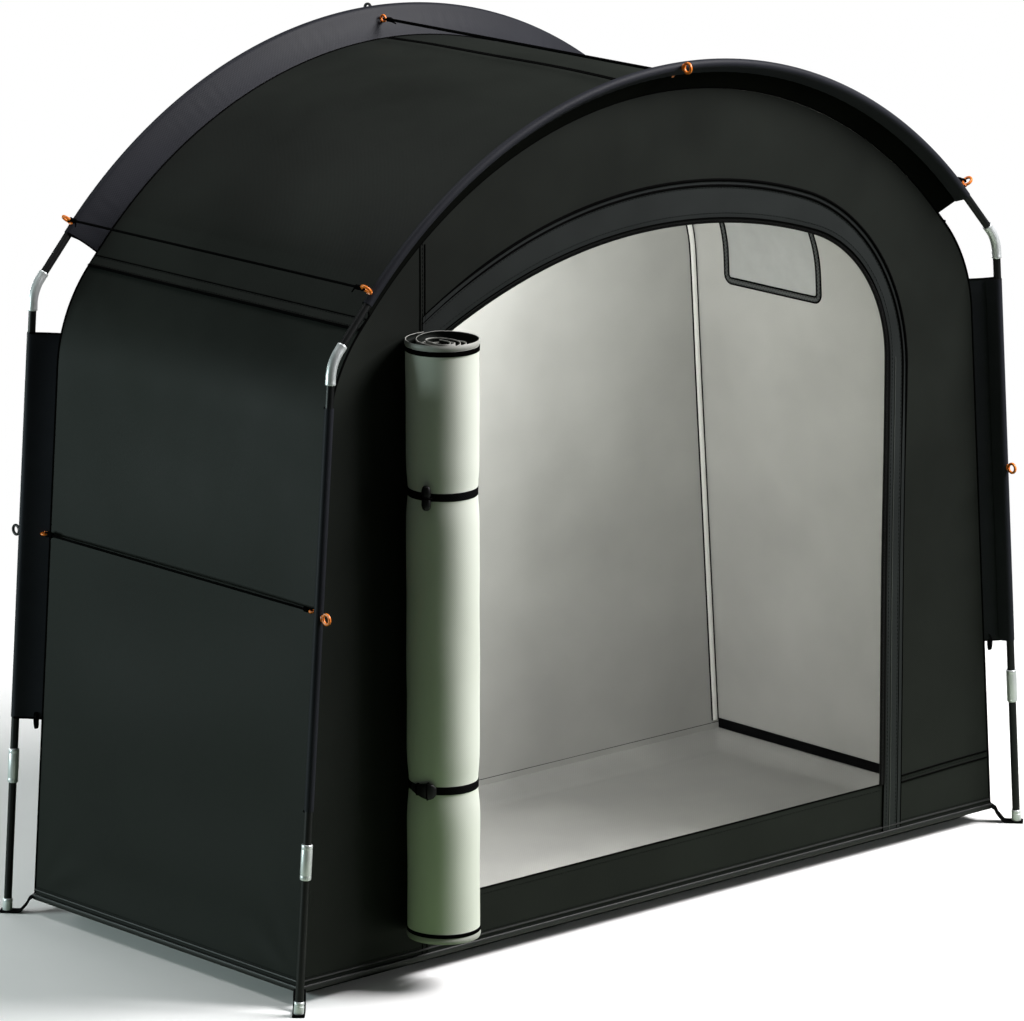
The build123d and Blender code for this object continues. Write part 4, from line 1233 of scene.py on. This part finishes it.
# Each eye's stand, the ring's mean radius, its bar and the shank's width
big_eye = (eye_reach - sleeve_out, 0.0095, 0.0052, 0.009)
small_eye = (0.0103, 0.0066, 0.0042, 0.0065)
leg_eye_x = leg_x(side_eye_height, 0)
eave_angle = flange_angle - eave_eye_inset / arch_radius
sideways, along_y = np.array([1.0, 0, 0]), np.array([0, 1.0, 0])
stay_ends = {"ridge": {}, "eave": {}, "side": {}}
for sign, side in ((-1, "front"), (1, "rear")):
    pole_y = sign * half_spacing
    for spot_x, spot_z in ((0, hoop_top), (-leg_eye_x, side_eye_height), (leg_eye_x, side_eye_height)):
        seat = np.array([spot_x, pole_y + sign * sleeve_out, spot_z])
        moulded_eye(eye_forms[f"{side}_guy_eyes"], seat, sign * along_y, sideways, *big_eye)
    for hand in (-1, 1):
        radial = np.array([hand * sin(eave_angle), 0, cos(eave_angle)])
        tangent = np.array([hand * cos(eave_angle), 0, -sin(eave_angle)])
        seat = (0, pole_y, arch_centre) + (arch_radius + sleeve_out) * radial
        centre = moulded_eye(eye_forms["eave_eyes"], seat, radial, tangent, *big_eye)
        stay_ends["eave"][hand, sign] = (centre, tangent, big_eye[1])
        lean_out, lean_away = leg_flange.lean
        tilt = np.array([hand * lean_away, -sign * lean_out, 0])
        seat = np.array([hand * (leg_x(side_eye_height, leg_inset) + side_stay_seat * lean_out),
                         sign * (body_half_depth + side_stay_seat * lean_away), side_eye_height])
        centre = moulded_eye(eye_forms["stay_eyes"], seat + cloth_out * tilt, tilt, upward, *small_eye)
        stay_ends["side"][hand, sign] = (centre, upward, small_eye[1])
    lean_out, lean_away = arch_flange.lean
    tilt = np.array([0, -sign * lean_out, lean_away])
    seat = np.array([0, sign * (body_half_depth + ridge_stay_seat * lean_away),
                     arch_centre + roof_radius + ridge_stay_seat * lean_out])
    centre = moulded_eye(eye_forms["stay_eyes"], seat + cloth_out * tilt, tilt, sideways, *small_eye)
    stay_ends["ridge"][0, sign] = (centre, sideways, small_eye[1])
for name, form in eye_forms.items():
    plastic = black_plastic if name == "rear_guy_eyes" else orange_plastic
    form.piece(name.replace("eyes", "moulded_eyes"), [plastic], "eye_plastic", [name])

# Each stay is a braid between two eyes, with a loop, a whipping and a loose tail at each end
braid_pitch, braid_relief = 0.010, 0.00040
braid_start, braid_step = 0.006, 0.0014
noose_radius, noose_cord = 0.0046, 0.0018
whipping_turns, whipping_pitch, whipping_radius = 3.4, 0.0034, 0.0034
whipping_start, whipping_cord, tail_cord = 0.0075, 0.0017, 0.0014
braid_ring = circle(16)
braid_turn = np.linspace(0, 2 * pi, 16, endpoint=False)
for name, node_name, braid_radius in (
    ("ridge", "ridge_stay", 0.0029), ("eave", "eave_stays", 0.0023), ("side", "side_stays", 0.0023),
):
    form = Form()
    for hand in sorted({key[0] for key in stay_ends[name]}):
        ends = {sign: stay_ends[name][hand, sign] for sign in (-1, 1)}
        limbs = {sign: centre - sign * reach * along_y for sign, (centre, _, reach) in ends.items()}
        start, stop = limbs[-1] + braid_start * along_y, limbs[1] - braid_start * along_y
        span = np.linalg.norm(stop - start)
        line = np.linspace(start, stop, int(span / braid_step))
        twist = np.linspace(0, span, len(line))[:, None] * 2 * pi / braid_pitch
        weave = np.maximum(np.cos(4 * braid_turn + twist), np.cos(4 * braid_turn - twist))
        form.sweep(line, (braid_radius + braid_relief * weave)[..., None] * braid_ring, upward)
        for sign, (_, axis, _) in ends.items():
            limb, inwards = limbs[sign], -sign * along_y
            third = np.cross(along_y, axis)
            noose = loop_round(limb, noose_radius * along_y, noose_radius * axis, ring_count)
            form.tube(noose, noose_cord, 8, third, closed=True)
            wind = np.linspace(0, whipping_turns, 70)[:, None]
            whipping = limb + (whipping_start + whipping_pitch * wind) * inwards + whipping_radius * (
                np.cos(2 * pi * wind) * axis + np.sin(2 * pi * wind) * third
            )
            form.tube(whipping, whipping_cord)
            tail_end = whipping[-1] + 0.010 * axis + 0.006 * inwards - 0.006 * upward
            tail_radii = np.linspace(whipping_cord, tail_cord, 6)
            form.tube(np.linspace(whipping[-1], tail_end, 6), tail_radii, 8, third)
    form.piece(f"{name}_stay_braid", [cord_braid], "stay_cord", [node_name])

# Stitches
surround_lines = [
    front_run(surround_edge(-0.0150, hinge_x + 0.008, hem_top), 0.0021),
    front_run(doorway(0.0200, hinge_x + 0.008, hem_top), 0.0021),
]
seam_z = sill_height + 0.007
seam_end = leg_x(seam_z, leg_inset) - 0.006
hem_loop = base_loop(0.0006, hem_height + 0.020)
front_lines = [
    front_run([(hinge_x, hem_top), (hinge_x, hinge_top)], 0.0004),
    front_run([(surround_half_width + 0.006, seam_z - 0.006), (seam_end, seam_z)], 0.0004),
    front_run(sill_ends - (0, 0.012), 0.0004),
    np.concatenate([hem_loop, hem_loop[:1]]),
]
window_lines = []
for face, base in wall_faces:
    for grow in (-0.0028, 0.0028):
        loop = window_loop(grow)
        window_lines.append(on_window_wall(np.concatenate([loop, loop[:1]]), base + face * 0.0012))
for name, lines in (
    ("surround_stitching", surround_lines), ("front_wall_stitching", front_lines),
    ("eave_and_ridge_stitching", eave_lines), ("flange_stitching", flange_lines),
    ("window_stitching", window_lines),
):
    along_lines(name, lines, stitches, stitch, thread)

# Poles stay as the solids have them
for side in ("front", "rear"):
    for node_name in ("arch_pole", "upper_legs", "lower_legs"):
        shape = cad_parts[f"{side}_{node_name}"]
        shape.data.materials.clear()
        shape.data.materials.append(pole_paint)

# Floor: white to the camera and mid-toned to bounced light, so that it doesn't wash out the dark cloth
floor_mesh = bpy.data.meshes.new("studio_floor")
floor_mesh.from_pydata([(x, y, -0.0005) for x, y in ((-3, -3), (3, -3), (3, 3), (-3, 3))], [], [(0, 1, 2, 3)])
floor = bpy.data.objects.new("studio_floor", floor_mesh)
scene.collection.objects.link(floor)
floor_paint, tree = new_material("matt_studio_floor")
place = add_node(tree, "ShaderNodeTexCoord").outputs["Object"]
grain = add_node(tree, "ShaderNodeTexNoise", {"Vector": place, "Scale": 6.0})
tint = add_node(tree, "ShaderNodeMapRange", {0: grain, 3: 0.90, 4: 0.93})
ray = add_node(tree, "ShaderNodeLightPath").outputs
mirrored = add_node(tree, "ShaderNodeMath", {0: ray["Is Glossy Ray"], 1: 0.35}, operation="MULTIPLY")
direct = add_node(tree, "ShaderNodeMath", {0: ray["Is Camera Ray"], 1: mirrored}, operation="MAXIMUM")
shown = add_node(
    tree, "ShaderNodeMix", {"Factor": direct, 6: (0.12, 0.19, 0.08, 1.0), 7: tint}, data_type="RGBA"
)
painted = add_node(tree, "ShaderNodeBsdfDiffuse", {"Color": shown.outputs[2]})
clear = add_node(tree, "ShaderNodeBsdfTransparent")
reach = add_node(tree, "ShaderNodeVectorMath", {0: place}, operation="LENGTH").outputs["Value"]
fade = add_node(tree, "ShaderNodeMapRange", {0: reach, 1: 1.5, 2: 2.8}, interpolation_type="SMOOTHSTEP")
mixed = add_node(tree, "ShaderNodeMixShader", {0: fade, 1: painted, 2: clear})
add_node(tree, "ShaderNodeOutputMaterial", {"Surface": mixed})
floor_mesh.materials.append(floor_paint)

# World: white to the camera, a weak soft light to everything else
world = bpy.data.worlds.new("studio_world")
scene.world = world
world.use_nodes = True
tree = world.node_tree
tree.nodes.clear()
ray = add_node(tree, "ShaderNodeLightPath").outputs
soft = add_node(tree, "ShaderNodeBackground", {"Color": (0.88, 1.0, 0.88, 1.0), "Strength": 0.06})
white = add_node(tree, "ShaderNodeBackground", {"Color": (1, 1, 1, 1), "Strength": 1.0})
seen = add_node(
    tree, "ShaderNodeMath", {0: ray["Is Camera Ray"], 1: ray["Is Transmission Ray"]}, operation="MAXIMUM"
)
mixed = add_node(tree, "ShaderNodeMixShader", {0: seen, 1: soft, 2: white})
add_node(tree, "ShaderNodeOutputWorld", {"Surface": mixed})


# Lamps
def softbox(name, place, aim, size, watts, colour=(1, 1, 1)):
    """Soft rectangular lamp that the camera doesn't see."""
    light = bpy.data.lights.new(name, "AREA")
    light.shape = "RECTANGLE"
    light.size, light.size_y = size
    light.energy = watts
    light.color = colour
    made = bpy.data.objects.new(name, light)
    made.location = place
    made.visible_camera = False
    made.rotation_euler = (Vector(aim) - Vector(place)).to_track_quat("-Z", "Y").to_euler()
    scene.collection.objects.link(made)


softbox("key_softbox", (3.40, -3.30, 5.00), (0, 0, 0.7), (3.2, 2.6), 800, (1.0, 0.985, 0.985))
softbox("front_softbox", (3.0, -5.6, 1.7), (-0.1, 0.0, 0.8), (2.0, 1.6), 40)
softbox("left_fill_softbox", (-4.1, 2.25, 0.9), (-0.93, -0.2, 0.85), (1.8, 0.9), 112, (0.82, 1.0, 0.98))
softbox("overhead_softbox", (-0.9, 1.0, 4.6), (-0.4, 0, 1.4), (2.0, 2.0), 60)
softbox("lamp_behind_door_head", (-0.30, -0.33, 1.42), (-0.42, 0.41, 1.08), (0.55, 0.10), 28.0)
softbox("rear_softbox", (0.6, 5.0, 0.6), (0, 0.4, 0.8), (3.0, 1.0), 140)

# Camera, fitted to the two hoops in the photo
view_turn, view_rise = radians(-41.967), radians(13.235)
back = Vector((sin(view_turn) * cos(view_rise), -cos(view_turn) * cos(view_rise), sin(view_rise)))
right = Vector((cos(view_turn), sin(view_turn), 0))
up = back.cross(right)
camera = bpy.data.cameras.new("photo_camera")
camera.sensor_width = 36.0
camera.lens = 236.0
camera.clip_end = 200.0
camera_rig = bpy.data.objects.new("photo_camera", camera)
camera_rig.location = (-8.8873, -9.8817, 3.9908)
aim = -back + right * -0.00170 + up * -0.00785
camera_rig.rotation_euler = aim.to_track_quat("-Z", "Y").to_euler()
scene.collection.objects.link(camera_rig)
scene.camera = camera_rig
scene.view_settings.view_transform = "Standard"
